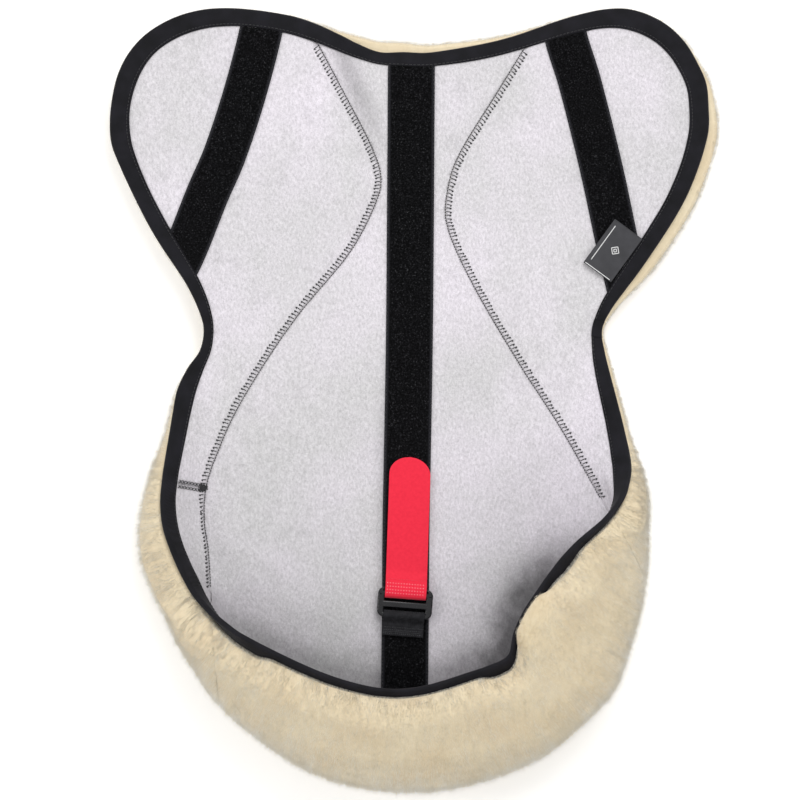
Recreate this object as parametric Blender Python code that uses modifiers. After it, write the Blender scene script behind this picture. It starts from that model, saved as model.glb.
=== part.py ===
"""Lambskin liner pad of a breastplate, lying wool side down with its lower edge rolled up and inward.

Units are metres, +Z is up and +Y runs from the rolled lower edge to the two upper lobes.
The pad is a pelt of four panels sewn together. Every layer of it (suede, wool, tape, thread) is placed
on one bent sheet: a flat middle whose edge turns up along a bend and goes on straight to the rim.
"""
import math
from collections import namedtuple

import bmesh
import bpy
from mathutils import Matrix, Vector
from mathutils.bvhtree import BVHTree

MM = 0.001
GAP = 0.3 * MM                      # clearance between pieces that touch

# Driving dimensions of the sheet
SUEDE_HEIGHT = 27.0 * MM            # suede side of the flat middle above the floor
SKIN = 2.0 * MM                     # thickness of the tanned skin
WOOL_DEPTH = 32.0 * MM              # free pile, from the suede side to the wool's tips
BEND_LENGTH = 24.0 * MM             # radius of the fully rolled edge
FLAT_BEND = 8.0 * MM                # length given to the bend where the edge stays flat
EDGE_COUNT = 96                     # stations around the rim
BEND_STEPS = 5

# Tapes
BINDING_LEG = 12.5 * MM             # visible width of the folded edge tape
BINDING = 1.0 * MM
TAPE_ROOM = 14.3 * MM               # edge of the pelt that the tape covers on the wool side
STRIP = 1.8 * MM                    # thickness of the loop tape
CENTRE_STRIP_WIDTH = 37.5 * MM
SIDE_STRIP_WIDTH = 34.2 * MM

# Rim of the pad: x, y, angle the edge has turned (degrees), straight length beyond the bend,
# and how far the wool stands beyond the rim (mm)
RIM = [
    (-8, 278, 0, 22, 11), (-32, 279, 0, 22, 13), (-56, 291, 0, 22, 5), (-94, 306, 0, 22, 1),
    (-146, 313, 0, 22, 0.5), (-184, 308, 0, 22, 0.5), (-216, 290, 0, 22, 0.5), (-235, 262, 0, 22, 0.5),
    (-242, 224, 0, 22, 0.5), (-238, 197, 0, 22, 0.5), (-210, 138, 0, 22, 1), (-179, 89, 0, 22, 1),
    (-167, 56, 0, 22, 1), (-172, 36, 2, 22, 0), (-186, 14, 8, 22, 0), (-194, -30, 24, 22, 0),
    (-199, -77, 52, 22, 0), (-195, -107, 60, 22, 0), (-176, -149, 70, 22, -1), (-154, -171, 102, 26, -3),
    (-126, -189, 128, 38, -5), (-61, -218, 143, 47, -5), (-6, -227, 150, 48, -5), (55, -210, 150, 56, -5),
    (74, -201, 150, 56, -5), (78, -185, 150, 58, -5), (87, -165, 150, 60, -5), (112, -129, 142, 50, -5),
    (131, -109, 130, 42, -4), (151, -93, 113, 29, -3), (163, -79, 88, 23, -1), (172, -58, 48, 22, 0),
    (169, -28, 20, 22, 1), (154, 34, 4, 22, 4), (151, 57, 0, 22, 4), (160, 75, 0, 22, 6),
    (187, 112, 0, 22, 10), (217, 160, 0, 22, 10), (234, 206, 0, 22, 9), (236, 233, 0, 22, 7),
    (232, 259, 0, 22, 4), (210, 294, 0, 22, 2), (174, 312, 0, 22, 1), (133, 308, 0, 22, 1),
    (71, 288, 0, 22, 5), (16, 278, 0, 22, 9),
]

# Seams between the panels, from the top edge down (mm)
LEFT_SEAM = [(-78, 288), (-55, 245), (-34, 204), (-26, 179), (-30, 158), (-51, 118), (-96, 63),
             (-137, 0), (-157, -43), (-166, -71), (-167, -98), (-164, -118), (-161, -151)]
LEFT_JUNCTION = 9                   # point of the left seam where the cross seam starts
CROSS_SEAM_END = (-186, -67)
RIGHT_SEAM = [(89, 281), (67, 245), (38, 198), (28, 168), (28, 138), (49, 91), (86, 28),
              (120, -25), (150, -79)]
SEAM_GAP = 0.6 * MM
SEAM_THREAD_WIDTH = 5.0 * MM
THREAD = 0.6 * MM                   # height of a stitched ridge

# Middle lines of the three loop strips (mm)
CENTRE_LINE = [(-1, 310), (-2, 150), (-3, 40), (-5.5, -100), (-6, -160), (-7, -260)]
LEFT_LINE = [(-119, 320), (-121, 298), (-134, 247), (-150, 198), (-165, 163), (-183, 118), (-200, 85)]
RIGHT_LINE = [(120, 320), (122, 292), (134, 252), (150, 188), (162, 132), (167, 110), (173, 85)]

# Slide, keeper and hook tab. The slide turns in the keeper about its lower bar.
SLIDE_TURN = math.radians(-4.4)     # the slide lies slightly askew on the strip
PIVOT = (-7.2 * MM, -172.2 * MM)    # middle of the lower bar
SLIDE_WIDTH = 44.0 * MM
SLIDE_LENGTH = 24.0 * MM
SIDE_BAR = 5.2 * MM
ROUND_BAR = 4.0 * MM
MIDDLE_BAR = 5.0 * MM               # flat bar between the two windows
LOWER_WINDOW = 4.0 * MM
BAR_RECESS = 3.0 * MM               # how far the upper bar is set back from the slide's end
BAR_ROOM = 0.6 * MM                 # slack of the tapes round the bars
WEBBING = 1.2 * MM
WEBBING_WIDTH = 33.0 * MM
KEEPER_LENGTH = 16.0 * MM
TAB_LEAN = math.tan(math.radians(2.5))  # sideways drift of the tab against the slide
TAB_LEAN_START = 6.0 * MM           # where the drift begins, beyond the upper bar
TAB_LENGTH = 109.5 * MM
TAB_RETURN = 13.0 * MM              # end of the tab folded under itself
TAB_STITCH = 9.0 * MM               # stitch line through both legs of the tab's loop
KEEPER_STITCH = -10.0 * MM

LABEL_FOOT = (169.3 * MM, 111.9 * MM)   # middle of the edge sewn in at the tape
LABEL_SIZE = (42.0 * MM, 25.5 * MM)
LABEL_TURN = math.radians(54.0)

COLOURS = {
    "suede": ((0.73, 0.71, 0.74), 0.95),
    "wool": ((0.69, 0.60, 0.40), 0.95),
    "binding": ((0.016, 0.016, 0.020), 0.85),
    "loop": ((0.006, 0.006, 0.007), 0.98),
    "webbing": ((0.020, 0.020, 0.024), 0.80),
    "plastic": ((0.030, 0.030, 0.034), 0.30),
    "hook": ((0.90, 0.03, 0.07), 0.80),
    "label": ((0.055, 0.055, 0.065), 0.70),
    "thread": ((0.012, 0.012, 0.014), 0.60),
}

Edge = namedtuple("Edge", "base normal turn bend length kink fluff")


# ---------------------------------------------------------------- curves

def spline_point(points, t, closed):
    """Point at t of a Catmull-Rom curve through points, whole numbers of t being the points."""
    count = len(points)
    index = int(math.floor(t))
    f = t - index
    picked = []
    for k in range(-1, 3):
        j = index + k
        picked.append(points[j % count] if closed else points[min(max(j, 0), count - 1)])
    a, b, c, d = picked
    return tuple(
        0.5 * (2 * q + (r - p) * f + (2 * p - 5 * q + 4 * r - s) * f * f + (3 * q - p - 3 * r + s) * f ** 3)
        for p, q, r, s in zip(a, b, c, d)
    )


def even_samples(points, count, closed):
    """Points spaced evenly by length along the curve."""
    spans = len(points) if closed else len(points) - 1
    fine = [spline_point(points, spans * k / 4000, closed) for k in range(4000)]
    fine.append(spline_point(points, spans - (0 if closed else 1e-9), closed))
    reach = [0.0]
    for p, q in zip(fine, fine[1:]):
        reach.append(reach[-1] + math.dist(p[:2], q[:2]))
    total = count if closed else count - 1
    samples, j = [], 0
    for k in range(count):
        goal = reach[-1] * k / total
        while j < len(reach) - 2 and reach[j + 1] < goal:
            j += 1
        span = max(reach[j + 1] - reach[j], 1e-12)
        f = (goal - reach[j]) / span
        samples.append(tuple(p + (q - p) * f for p, q in zip(fine[j], fine[j + 1])))
    return samples


def relaxed(points, passes):
    """Closed row of points, each drawn towards its neighbours."""
    for _ in range(passes):
        ahead = points[1:] + points[:1]
        points = [(points[k - 1] + 2 * point + ahead[k]) / 4 for k, point in enumerate(points)]
    return points


def in_metres(points):
    return [tuple(value * MM for value in point) for point in points]


# ---------------------------------------------------------------- the bent sheet

def rim_edges():
    """One Edge for each station: where its bend starts, which way it goes and how it bends."""
    samples = even_samples(RIM, EDGE_COUNT, True)
    rim = [Vector((s[0], s[1])) * MM for s in samples]
    smooth = relaxed(rim, 6)
    course = relaxed(rim, 16)
    edges = []
    for k, sample in enumerate(samples):
        along = (course[(k + 1) % EDGE_COUNT] - course[k - 1]).normalized()
        normal = Vector((along.y, -along.x))            # outward: the rim runs anticlockwise from the top
        turn = math.radians(max(sample[2], 0.0))
        bend = max(BEND_LENGTH * turn, FLAT_BEND)
        flap = sample[3] * MM
        out = (bend / turn * math.sin(turn) if turn > 1e-4 else bend) + flap * math.cos(turn)
        edges.append(Edge(smooth[k] + normal * -out, normal, turn, bend, bend + flap,
                          rim[k] - smooth[k], sample[4] * MM))
    return edges


def on_sheet(edge, s, depth):
    """Point s along the sheet from the start of its bend and depth below its suede side."""
    bent = min(max(s, 0.0), edge.bend)
    angle = edge.turn * bent / edge.bend
    radius = edge.bend / edge.turn if edge.turn > 1e-4 else 0.0
    out = radius * math.sin(angle) if radius else bent
    up = radius * (1 - math.cos(angle)) if radius else 0.0
    out += (s - bent) * math.cos(angle) + depth * math.sin(angle)
    up += (s - bent) * math.sin(angle) - depth * math.cos(angle)
    share = max(s - edge.bend, 0.0) / (edge.length - edge.bend)
    plan = edge.base + edge.normal * out + edge.kink * share
    return Vector((plan.x, plan.y, SUEDE_HEIGHT + up))


def bend_stations(edge):
    return [edge.bend * k / BEND_STEPS for k in range(BEND_STEPS + 1)]


# ---------------------------------------------------------------- making objects

def make_object(name, mesh, colour, collection):
    item = bpy.data.objects.new(name, mesh)
    collection.objects.link(item)
    material = bpy.data.materials.get(colour) or new_material(colour)
    mesh.materials.append(material)
    return item


def new_material(colour):
    material = bpy.data.materials.new(colour)
    material.use_nodes = True
    shader = material.node_tree.nodes["Principled BSDF"]
    rgb, rough = COLOURS[colour]
    shader.inputs["Base Color"].default_value = (*rgb, 1)
    shader.inputs["Roughness"].default_value = rough
    shader.inputs["Metallic"].default_value = 0.0
    return material


def mesh_from(name, points, faces):
    mesh = bpy.data.meshes.new(name)
    mesh.from_pydata([tuple(p) for p in points], [], faces)
    mesh.validate()
    fix = bmesh.new()
    fix.from_mesh(mesh)
    bmesh.ops.recalc_face_normals(fix, faces=fix.faces)
    fix.to_mesh(mesh)
    fix.free()
    return mesh


def ring_mesh(name, rings, closed_round, cap_ends):
    """Loft of rings of equal size: joined last to first when closed_round, else with flat end faces."""
    size = len(rings[0])
    points = [p for ring in rings for p in ring]
    faces = []
    spans = len(rings) if closed_round else len(rings) - 1
    for k in range(spans):
        a, b = k * size, ((k + 1) % len(rings)) * size
        faces += [(a + j, a + (j + 1) % size, b + (j + 1) % size, b + j) for j in range(size)]
    if cap_ends:
        faces.append(tuple(range(size)))
        last = (len(rings) - 1) * size
        faces.append(tuple(last + size - 1 - j for j in range(size)))
    return mesh_from(name, points, faces)


def sheet_loft(name, edges, profile, floor=None):
    """Closed solid round the rim from profile(edge), a list of (s, depth).

    A profile that ends where it began is a tube; any other runs from the upper middle of the pad
    to its lower middle, and those two rings are capped. Quads are split along s in the same way
    in every layer, so that layers that follow each other stay apart where the sheet twists.
    """
    outlines = [profile(edge) for edge in edges]
    tube = outlines[0][0] == outlines[0][-1]
    size, count = len(outlines[0]) - tube, len(edges)
    points = [on_sheet(edge, s, depth)
              for edge, outline in zip(edges, outlines) for s, depth in outline[:size]]
    if floor is not None:
        for point in points:
            point.z = max(point.z, floor)
    faces = []
    for k in range(count):
        a, b = k * size, ((k + 1) % count) * size
        for j in range(size if tube else size - 1):
            i = (j + 1) % size
            if outlines[k][j + 1][0] >= outlines[k][j][0]:
                faces += [(a + j, a + i, b + i), (a + j, b + i, b + j)]
            else:
                faces += [(a + j, a + i, b + j), (a + i, b + i, b + j)]
    if not tube:
        faces.append(tuple(k * size for k in range(count)))
        faces.append(tuple(k * size + size - 1 for k in reversed(range(count))))
    return mesh_from(name, points, faces)


def prism(name, outline, low, high, collection):
    """Upright solid over a plan outline, used as a cutter."""
    curve = bpy.data.curves.new(name, "CURVE")
    curve.dimensions = "2D"
    curve.fill_mode = "BOTH"
    curve.extrude = (high - low) / 2
    spline = curve.splines.new("POLY")
    spline.points.add(len(outline) - 1)
    for point, (x, y) in zip(spline.points, outline):
        point.co = (x, y, 0, 1)
    spline.use_cyclic_u = True
    return solid_from_curve(name, curve, Matrix.Translation((0, 0, (high + low) / 2)), collection)


def solid_from_curve(name, curve, matrix, collection):
    """Mesh object of a filled curve, its loose caps welded."""
    source = bpy.data.objects.new(name + "_curve", curve)
    collection.objects.link(source)
    source.matrix_world = matrix
    bpy.context.view_layer.update()
    mesh = bpy.data.meshes.new_from_object(source.evaluated_get(bpy.context.evaluated_depsgraph_get()))
    bpy.data.objects.remove(source)
    weld = bmesh.new()
    weld.from_mesh(mesh)
    bmesh.ops.remove_doubles(weld, verts=weld.verts, dist=1e-6)
    bmesh.ops.recalc_face_normals(weld, faces=weld.faces)
    weld.to_mesh(mesh)
    weld.free()
    item = bpy.data.objects.new(name, mesh)
    item.matrix_world = matrix
    collection.objects.link(item)
    return item


def make_cutter(item):
    item.hide_render = True
    item.display_type = "WIRE"
    return item


def cut(item, cutter, operation):
    change = item.modifiers.new(operation.lower(), "BOOLEAN")
    change.operation = operation
    change.solver = "EXACT"
    change.object = cutter


# ---------------------------------------------------------------- pelt

def skin_profile(edge):
    bends = bend_stations(edge)
    edge_run = [edge.length - TAPE_ROOM, edge.length - BINDING_LEG, edge.length - 1 * MM]
    path = bends + edge_run
    return [(s, 0.0) for s in path] + [(s, SKIN) for s in reversed(path)]


def fleece_profile(edge):
    """Wool from just under the skin, out past the rim and back along its tips."""
    near = SKIN + GAP
    clear = SKIN + BINDING + 1.4 * MM                   # room for the tape's outer leg
    tip = edge.length + edge.fluff
    inner = [(s, near) for s in bend_stations(edge)]
    inner += [(edge.length - TAPE_ROOM, near), (edge.length - BINDING_LEG - 1.5 * MM, clear)]
    inner += [(tip - 1.5 * MM, clear)]
    outer = [(tip, 9 * MM), (tip - 0.5 * MM, 17 * MM), (tip - 4 * MM, 25 * MM), (tip - 11 * MM, 30.5 * MM)]
    outer += [(s, WOOL_DEPTH) for s in reversed(bend_stations(edge))]
    return inner + outer


def seam_lines():
    """The two long seams and the cross seam, sampled smoothly."""
    left = even_samples(in_metres(LEFT_SEAM), 56, False)
    right = even_samples(in_metres(RIGHT_SEAM), 44, False)
    junction = Vector(LEFT_SEAM[LEFT_JUNCTION]) * MM
    cut_at = min(range(len(left)), key=lambda k: (Vector(left[k]) - junction).length)
    return left, right, cut_at


def beyond(line, inner, reach):
    """The line's end carried straight on by reach, away from its inner neighbour."""
    end, before = Vector(line), Vector(inner)
    return tuple(end + (end - before).normalized() * reach)


def shifted(line, offset):
    """The line moved sideways, to its left when offset is positive."""
    moved = []
    for k, point in enumerate(line):
        along = Vector(line[min(k + 1, len(line) - 1)]) - Vector(line[max(k - 1, 0)])
        side = Vector((-along.y, along.x)).normalized()
        moved.append(tuple(Vector(point) + side * offset))
    return moved


def panel_outlines():
    """Plan outlines of the four panels, parted by the seam gap and running on past the rim."""
    left, right, junction = seam_lines()
    far = 0.45
    half = SEAM_GAP / 2
    left = [beyond(left[0], left[1], 0.2)] + left + [beyond(left[-1], left[-2], 0.3)]
    right = [beyond(right[0], right[1], 0.2)] + right + [beyond(right[-1], right[-2], 0.3)]
    junction += 1
    cross = [left[junction], tuple(Vector(CROSS_SEAM_END) * MM)]
    cross.append(beyond(cross[1], cross[0], 0.3))
    centre = shifted(left, half) + list(reversed(shifted(right, -half)))
    upper_left = shifted(left[:junction + 1], -half)
    upper_left[-1] = tuple(Vector(upper_left[-1]) + Vector((0, half)))
    upper_left += [tuple(Vector(p) + Vector((0, half))) for p in cross[1:]]
    upper_left += [(-far, -0.05), (-far, far), (-0.15, far)]
    lower_left = [tuple(Vector(p) - Vector((0, half))) for p in reversed(cross)]
    lower_left[-1] = tuple(Vector(lower_left[-1]) - Vector((half, 0)))
    lower_left += shifted(left[junction:], -half)[1:] + [(-far, -far)]
    right_outline = shifted(right, half) + [(far, -far), (far, far)]
    return {"left": upper_left, "centre": centre, "right": right_outline, "lower_left": lower_left}


def add_panels(edges, parts, cutters):
    skin = sheet_loft("skin", edges, skin_profile)
    fleece = sheet_loft("fleece", edges, fleece_profile, floor=0.0)
    for side, outline in panel_outlines().items():
        cutter = make_cutter(prism(side + "_outline", outline, -0.05, 0.25, cutters))
        for layer, mesh, colour in (("skin", skin, "suede"), ("fleece", fleece, "wool")):
            panel = make_object(f"{side}_{layer}", mesh.copy(), colour, parts)
            cut(panel, cutter, "INTERSECT")


# ---------------------------------------------------------------- edge tape

def binding_profile(edge):
    low, high = -GAP - BINDING, -GAP
    under, over = SKIN + GAP, SKIN + GAP + BINDING
    leg, tip = edge.length - BINDING_LEG, edge.length
    fold, crown = tip - 0.6 * MM, tip + 0.5 * MM
    return [(leg, high), (leg, low), (fold, low), (crown, low + 0.7 * MM), (crown, over - 0.7 * MM),
            (fold, over), (leg, over), (leg, under), (fold, under), (fold, high), (leg, high)]


def binding_thread_profile(edge):
    line, top = edge.length - BINDING_LEG + 1.6 * MM, -GAP - BINDING - 0.8 * MM
    return [(line - 0.5 * MM, top), (line - 0.5 * MM, top - 0.4 * MM),
            (line + 0.5 * MM, top - 0.4 * MM), (line + 0.5 * MM, top), (line - 0.5 * MM, top)]


def add_binding(edges, parts):
    """One length of tape folded over the rim, and the thread along its inner edge."""
    layers = (("edge_binding", binding_profile, "binding"), ("binding_thread", binding_thread_profile, "thread"))
    for name, profile, colour in layers:
        make_object(name, sheet_loft(name, edges, profile), colour, parts)


# ---------------------------------------------------------------- seams

def suede_surface(edges):
    """Ray target for the suede side alone, from the middle out to the rim."""
    rings = [[on_sheet(edge, s, 0.0) for s in bend_stations(edge) + [edge.length]] for edge in edges]
    size, count = len(rings[0]), len(rings)
    points = [p for ring in rings for p in ring]
    faces = []
    for k in range(count):
        a, b = k * size, ((k + 1) % count) * size
        faces += [(a + j, b + j, b + j + 1, a + j + 1) for j in range(size - 1)]
    faces.append(tuple(k * size for k in reversed(range(count))))
    return BVHTree.FromPolygons(points, faces)


def add_seam_threads(edges, parts):
    """Stitched ridges over the seams, as far as the edge tape."""
    surface = suede_surface(edges)
    left, right, junction = seam_lines()
    cross = [left[junction], tuple(Vector(CROSS_SEAM_END) * MM)]
    cross = [tuple(Vector(cross[0]).lerp(Vector(cross[1]), f)) for f in (0.2, 0.45, 0.7)]
    clear = BINDING_LEG + 1.2 * MM
    inner = [on_sheet(edge, edge.length - clear, 0.0) for edge in edges]
    lines = {"left_seam_thread": left, "right_seam_thread": right, "cross_seam_thread": cross}
    for name, line in lines.items():
        line = [p for p in line if inside(p, inner)]
        half = SEAM_THREAD_WIDTH / 2
        sides = shifted(line, half), shifted(line, -half)
        rings = []
        for a, b in zip(*sides):
            low, high = [], []
            for x, y in (a, b):
                foot, upward = surface.ray_cast(Vector((x, y, 0.3)), Vector((0, 0, -1)))[:2]
                upward = upward if upward.z > 0 else -upward
                low.append(foot + upward * 2 * GAP)
                high.append(foot + upward * (2 * GAP + THREAD))
            rings.append([low[0], high[0], high[1], low[1]])
        make_object(name, ring_mesh(name, rings, False, True), "thread", parts)


def inside(point, outline):
    """Whether a plan point lies inside a closed outline."""
    x, y = point[0], point[1]
    hit = False
    for p, q in zip(outline, outline[1:] + outline[:1]):
        if (p[1] > y) != (q[1] > y) and x < p[0] + (q[0] - p[0]) * (y - p[1]) / (q[1] - p[1]):
            hit = not hit
    return hit


# ---------------------------------------------------------------- loop strips

def strip_columns(line, width, count):
    """Lines side by side across a strip, each following its middle line."""
    middle = even_samples(in_metres(line), 200, False)
    return [shifted(middle, width * (0.5 - j / (count - 1))) for j in range(count)]


def ribbon(name, bottoms, tops):
    """Closed ribbon from rows of lower and upper points."""
    rings = [low + list(reversed(high)) for low, high in zip(bottoms, tops)]
    return ring_mesh(name, rings, False, True)


def add_side_strip(name, line, edges, parts):
    """A strip that crosses a lobe flat, cut at the inner edge of the tape at both ends."""
    clear = BINDING_LEG + 0.5 * MM
    inner = [on_sheet(edge, edge.length - clear, 0.0) for edge in edges]
    rows = 14
    columns = []
    for column in strip_columns(line, SIDE_STRIP_WIDTH, 5):
        kept = [p for p in column if inside(p, inner)]
        columns.append([kept[round(k * (len(kept) - 1) / (rows - 1))] for k in range(rows)])
    low, high = SUEDE_HEIGHT + GAP, SUEDE_HEIGHT + GAP + STRIP
    bottoms = [[Vector((*column[k], low)) for column in columns] for k in range(rows)]
    tops = [[Vector((*column[k], high)) for column in columns] for k in range(rows)]
    make_object(name, ribbon(name, bottoms, tops), "loop", parts)


def edge_at(edges, x):
    """The edge between two stations of the lower rim whose bend starts at x."""
    for p, q in zip(edges, edges[1:]):
        if p.base.y < -0.1 and q.base.y < -0.1 and p.base.x <= x < q.base.x:
            f = (x - p.base.x) / (q.base.x - p.base.x)
            mixed = [a + (b - a) * f for a, b in zip(p, q)]
            return Edge(*mixed)
    raise ValueError("no lower edge at x")


def add_centre_strip(edges, parts):
    """The middle strip: flat from the top tape to the bend, then up the rolled edge to its tape."""
    clear = BINDING_LEG + 0.8 * MM
    inner = [on_sheet(edge, edge.length - clear, 0.0) for edge in edges]
    flat_rows = 12
    bottoms, tops = [], []
    columns = strip_columns(CENTRE_LINE, CENTRE_STRIP_WIDTH, 5)
    starts, ends = [], []
    for column in columns:
        kept = [p for p in column if inside(p, inner) and p[1] > 0]
        starts.append(kept[0])
        near = min(column, key=lambda p: abs(p[1] + 0.24))
        ends.append(edge_at(edges, near[0]))
    for k in range(flat_rows):
        f = k / flat_rows
        row = []
        for column, start, end in zip(columns, starts, ends):
            y = start[1] + (end.base.y - start[1]) * f
            row.append((min(column, key=lambda p: abs(p[1] - y))[0], y))
        bottoms.append([Vector((x, y, SUEDE_HEIGHT + GAP)) for x, y in row])
        tops.append([Vector((x, y, SUEDE_HEIGHT + GAP + STRIP)) for x, y in row])
    for k in range(BEND_STEPS + 2):
        low, high = [], []
        for edge in ends:
            s = (bend_stations(edge) + [edge.length - clear - 1 * MM])[k]
            low.append(on_sheet(edge, s, -GAP - 0.3 * MM * (k > 0)))
            high.append(on_sheet(edge, s, -GAP - STRIP))
        bottoms.append(low)
        tops.append(high)
    make_object("centre_loop_strip", ribbon("centre_loop_strip", bottoms, tops), "loop", parts)


# ---------------------------------------------------------------- slide, keeper, tab

STRIP_TOP = SUEDE_HEIGHT + GAP + STRIP
BAR_HEIGHT = STRIP_TOP + GAP + WEBBING + BAR_ROOM + ROUND_BAR / 2
UPPER_BAR_Y = SLIDE_LENGTH - ROUND_BAR - BAR_RECESS     # from the lower bar's middle


def empty_at(name, location, turn, parent, collection):
    item = bpy.data.objects.new(name, None)
    item.empty_display_size = 0.02
    item.location = location
    item.rotation_euler = (0, 0, turn)
    item.parent = parent
    collection.objects.link(item)
    return item


def looped_ribbon(name, path, thickness, width, colour, pivot, collection):
    """Tape of one thickness along a path in the YZ plane, as wide as width along X."""
    left, right = [], []
    for k, (y, z) in enumerate(path):
        before, after = path[max(k - 1, 0)], path[min(k + 1, len(path) - 1)]
        dy, dz = after[0] - before[0], after[1] - before[1]
        size = math.hypot(dy, dz)
        ny, nz = -dz / size * thickness / 2, dy / size * thickness / 2
        left.append((y + ny, z + nz))
        right.append((y - ny, z - nz))
    outline = left + right[::-1]
    rings = [[Vector((side * width / 2, y, z)) for y, z in outline] for side in (-1, 1)]
    item = make_object(name, ring_mesh(name, rings, False, True), colour, collection)
    item.parent = pivot
    return item


def arc(centre_y, centre_z, radius, start, end, steps):
    return [(centre_y + radius * math.cos(math.radians(start + (end - start) * k / steps)),
             centre_z + radius * math.sin(math.radians(start + (end - start) * k / steps)))
            for k in range(steps + 1)]


def add_keeper(pivot, parts):
    """Webbing folded round the slide's lower bar, both legs lying on the centre strip."""
    wrap = ROUND_BAR / 2 + BAR_ROOM + WEBBING / 2
    low = -wrap
    high = low + WEBBING + GAP
    path = [(-KEEPER_LENGTH, low)] + arc(0, 0, wrap, -90, 150, 10)
    path += [(-5.5 * MM, high + 0.8 * MM), (-7.5 * MM, high), (-KEEPER_LENGTH, high)]
    looped_ribbon("strap_keeper", path, WEBBING, WEBBING_WIDTH, "webbing", pivot, parts)
    stitch_row("keeper_thread", KEEPER_STITCH, high + WEBBING / 2, pivot, parts)


def stitch_row(name, y, top, pivot, parts):
    """Low ridge of one line of stitches across a tape."""
    low, high = top + GAP, top + GAP + 0.4 * MM
    half = WEBBING_WIDTH / 2 - 1.5 * MM
    ring = [(y - 0.5 * MM, low), (y + 0.5 * MM, low), (y + 0.5 * MM, high), (y - 0.5 * MM, high)]
    rings = [[Vector((side * half, *point)) for point in ring] for side in (-1, 1)]
    item = make_object(name, ring_mesh(name, rings, False, True), "thread", parts)
    item.parent = pivot


def add_slide(pivot, parts, cutters):
    """Three-bar slide: rounded frame with two windows, its upper bar set back from the frame's end."""
    frame = slab("slide_buckle", SLIDE_WIDTH, SLIDE_LENGTH, ROUND_BAR, 5.5 * MM)
    item = make_object("slide_buckle", frame, "plastic", parts)
    item.parent = pivot
    item.location = (0, (SLIDE_LENGTH - ROUND_BAR) / 2, 0)
    lower = ROUND_BAR / 2
    upper = lower + LOWER_WINDOW + MIDDLE_BAR
    recess = UPPER_BAR_Y + ROUND_BAR / 2
    opening = SLIDE_WIDTH - 2 * SIDE_BAR
    lengths = (LOWER_WINDOW, UPPER_BAR_Y - ROUND_BAR / 2 - upper, 3 * BAR_RECESS)
    for start, length in zip((lower, upper, recess), lengths):
        cutter = bpy.data.objects.new("window", slab("window", opening, length, 3 * ROUND_BAR))
        cutter.parent = pivot
        cutter.location = (0, start + length / 2, 0)
        cutters.objects.link(cutter)
        cut(item, make_cutter(cutter), "DIFFERENCE")
    bevel = item.modifiers.new("rounded", "BEVEL")
    bevel.width = 1.1 * MM
    bevel.segments = 2
    bevel.use_clamp_overlap = False
    bevel.limit_method = "ANGLE"
    bevel.angle_limit = math.radians(50)


def slab(name, width, length, height, corner=0.0):
    """Rectangular plate, its upright edges rounded by corner."""
    shape = bmesh.new()
    bmesh.ops.create_cube(shape, size=1.0)
    bmesh.ops.scale(shape, vec=(width, length, height), verts=shape.verts)
    upright = [e for e in shape.edges if abs(e.verts[0].co.z - e.verts[1].co.z) > height / 2]
    if corner:
        bmesh.ops.bevel(shape, geom=upright, offset=corner, segments=3, affect="EDGES", profile=0.5)
    mesh = bpy.data.meshes.new(name)
    shape.to_mesh(mesh)
    shape.free()
    return mesh


def leaned(x, y):
    """Plan point of the tab, drifting to one side beyond its loop."""
    return x - TAB_LEAN * max(y - TAB_LEAN_START, 0.0), y


def add_tab(pivot, parts, cutters):
    """Hook tape looped over the slide's upper bar, its rounded tip lying on the centre strip."""
    wrap = ROUND_BAR / 2 + BAR_ROOM + WEBBING / 2
    rest = -BAR_HEIGHT + STRIP_TOP + GAP + WEBBING / 2
    top = rest + WEBBING + GAP
    path = [(TAB_RETURN, rest)] + arc(0, 0, wrap, 270, 90, 8) + [(3 * MM, wrap)]
    path += [(5.5 * MM, 2.2 * MM), (TAB_STITCH, 0.2 * MM), (TAB_RETURN + 0.3 * MM, top + 0.2 * MM),
             (TAB_RETURN + 4.5 * MM, rest + 0.2 * MM), (TAB_RETURN + 8.5 * MM, rest), (TAB_LENGTH, rest)]
    tab = looped_ribbon("hook_tab", path, WEBBING, WEBBING_WIDTH, "hook", pivot, parts)
    for vertex in tab.data.vertices:
        vertex.co.xy = leaned(*vertex.co.xy)
    radius = WEBBING_WIDTH / 2 + 0.2 * MM
    squat = 0.85                                    # the tip is a little flatter than a half circle
    outline = [(radius * math.cos(a), TAB_LENGTH + squat * radius * (math.sin(a) - 1))
               for a in (math.pi * k / 16 for k in range(17))]
    outline += [(-radius, TAB_LEAN_START), (-radius, -0.02), (radius, -0.02), (radius, TAB_LEAN_START)]
    tip = prism("tab_tip", [leaned(*point) for point in outline], -0.02, 0.02, cutters)
    tip.parent = pivot
    tip.matrix_world = pivot.matrix_world
    cut(tab, make_cutter(tip), "INTERSECT")
    stitch_row("tab_thread", TAB_STITCH, top + WEBBING / 2 + 2.2 * MM, pivot, parts)


# ---------------------------------------------------------------- label

def add_label(pivot, parts):
    """Tape folded in two, its cut ends at the edge tape and its fold towards the middle."""
    width, reach = LABEL_SIZE
    layer, low = 0.5 * MM, STRIP_TOP + GAP + 0.25 * MM
    bend = (layer + GAP) / 2
    path = [(0.0, low), (reach - bend, low)] + arc(reach - bend, low + bend, bend, -60, 60, 4)
    path += [(reach - bend, low + 2 * bend), (0.0, low + 2 * bend)]
    looped_ribbon("folded_label", path, layer, width, "label", pivot, parts)


# ---------------------------------------------------------------- build

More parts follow.
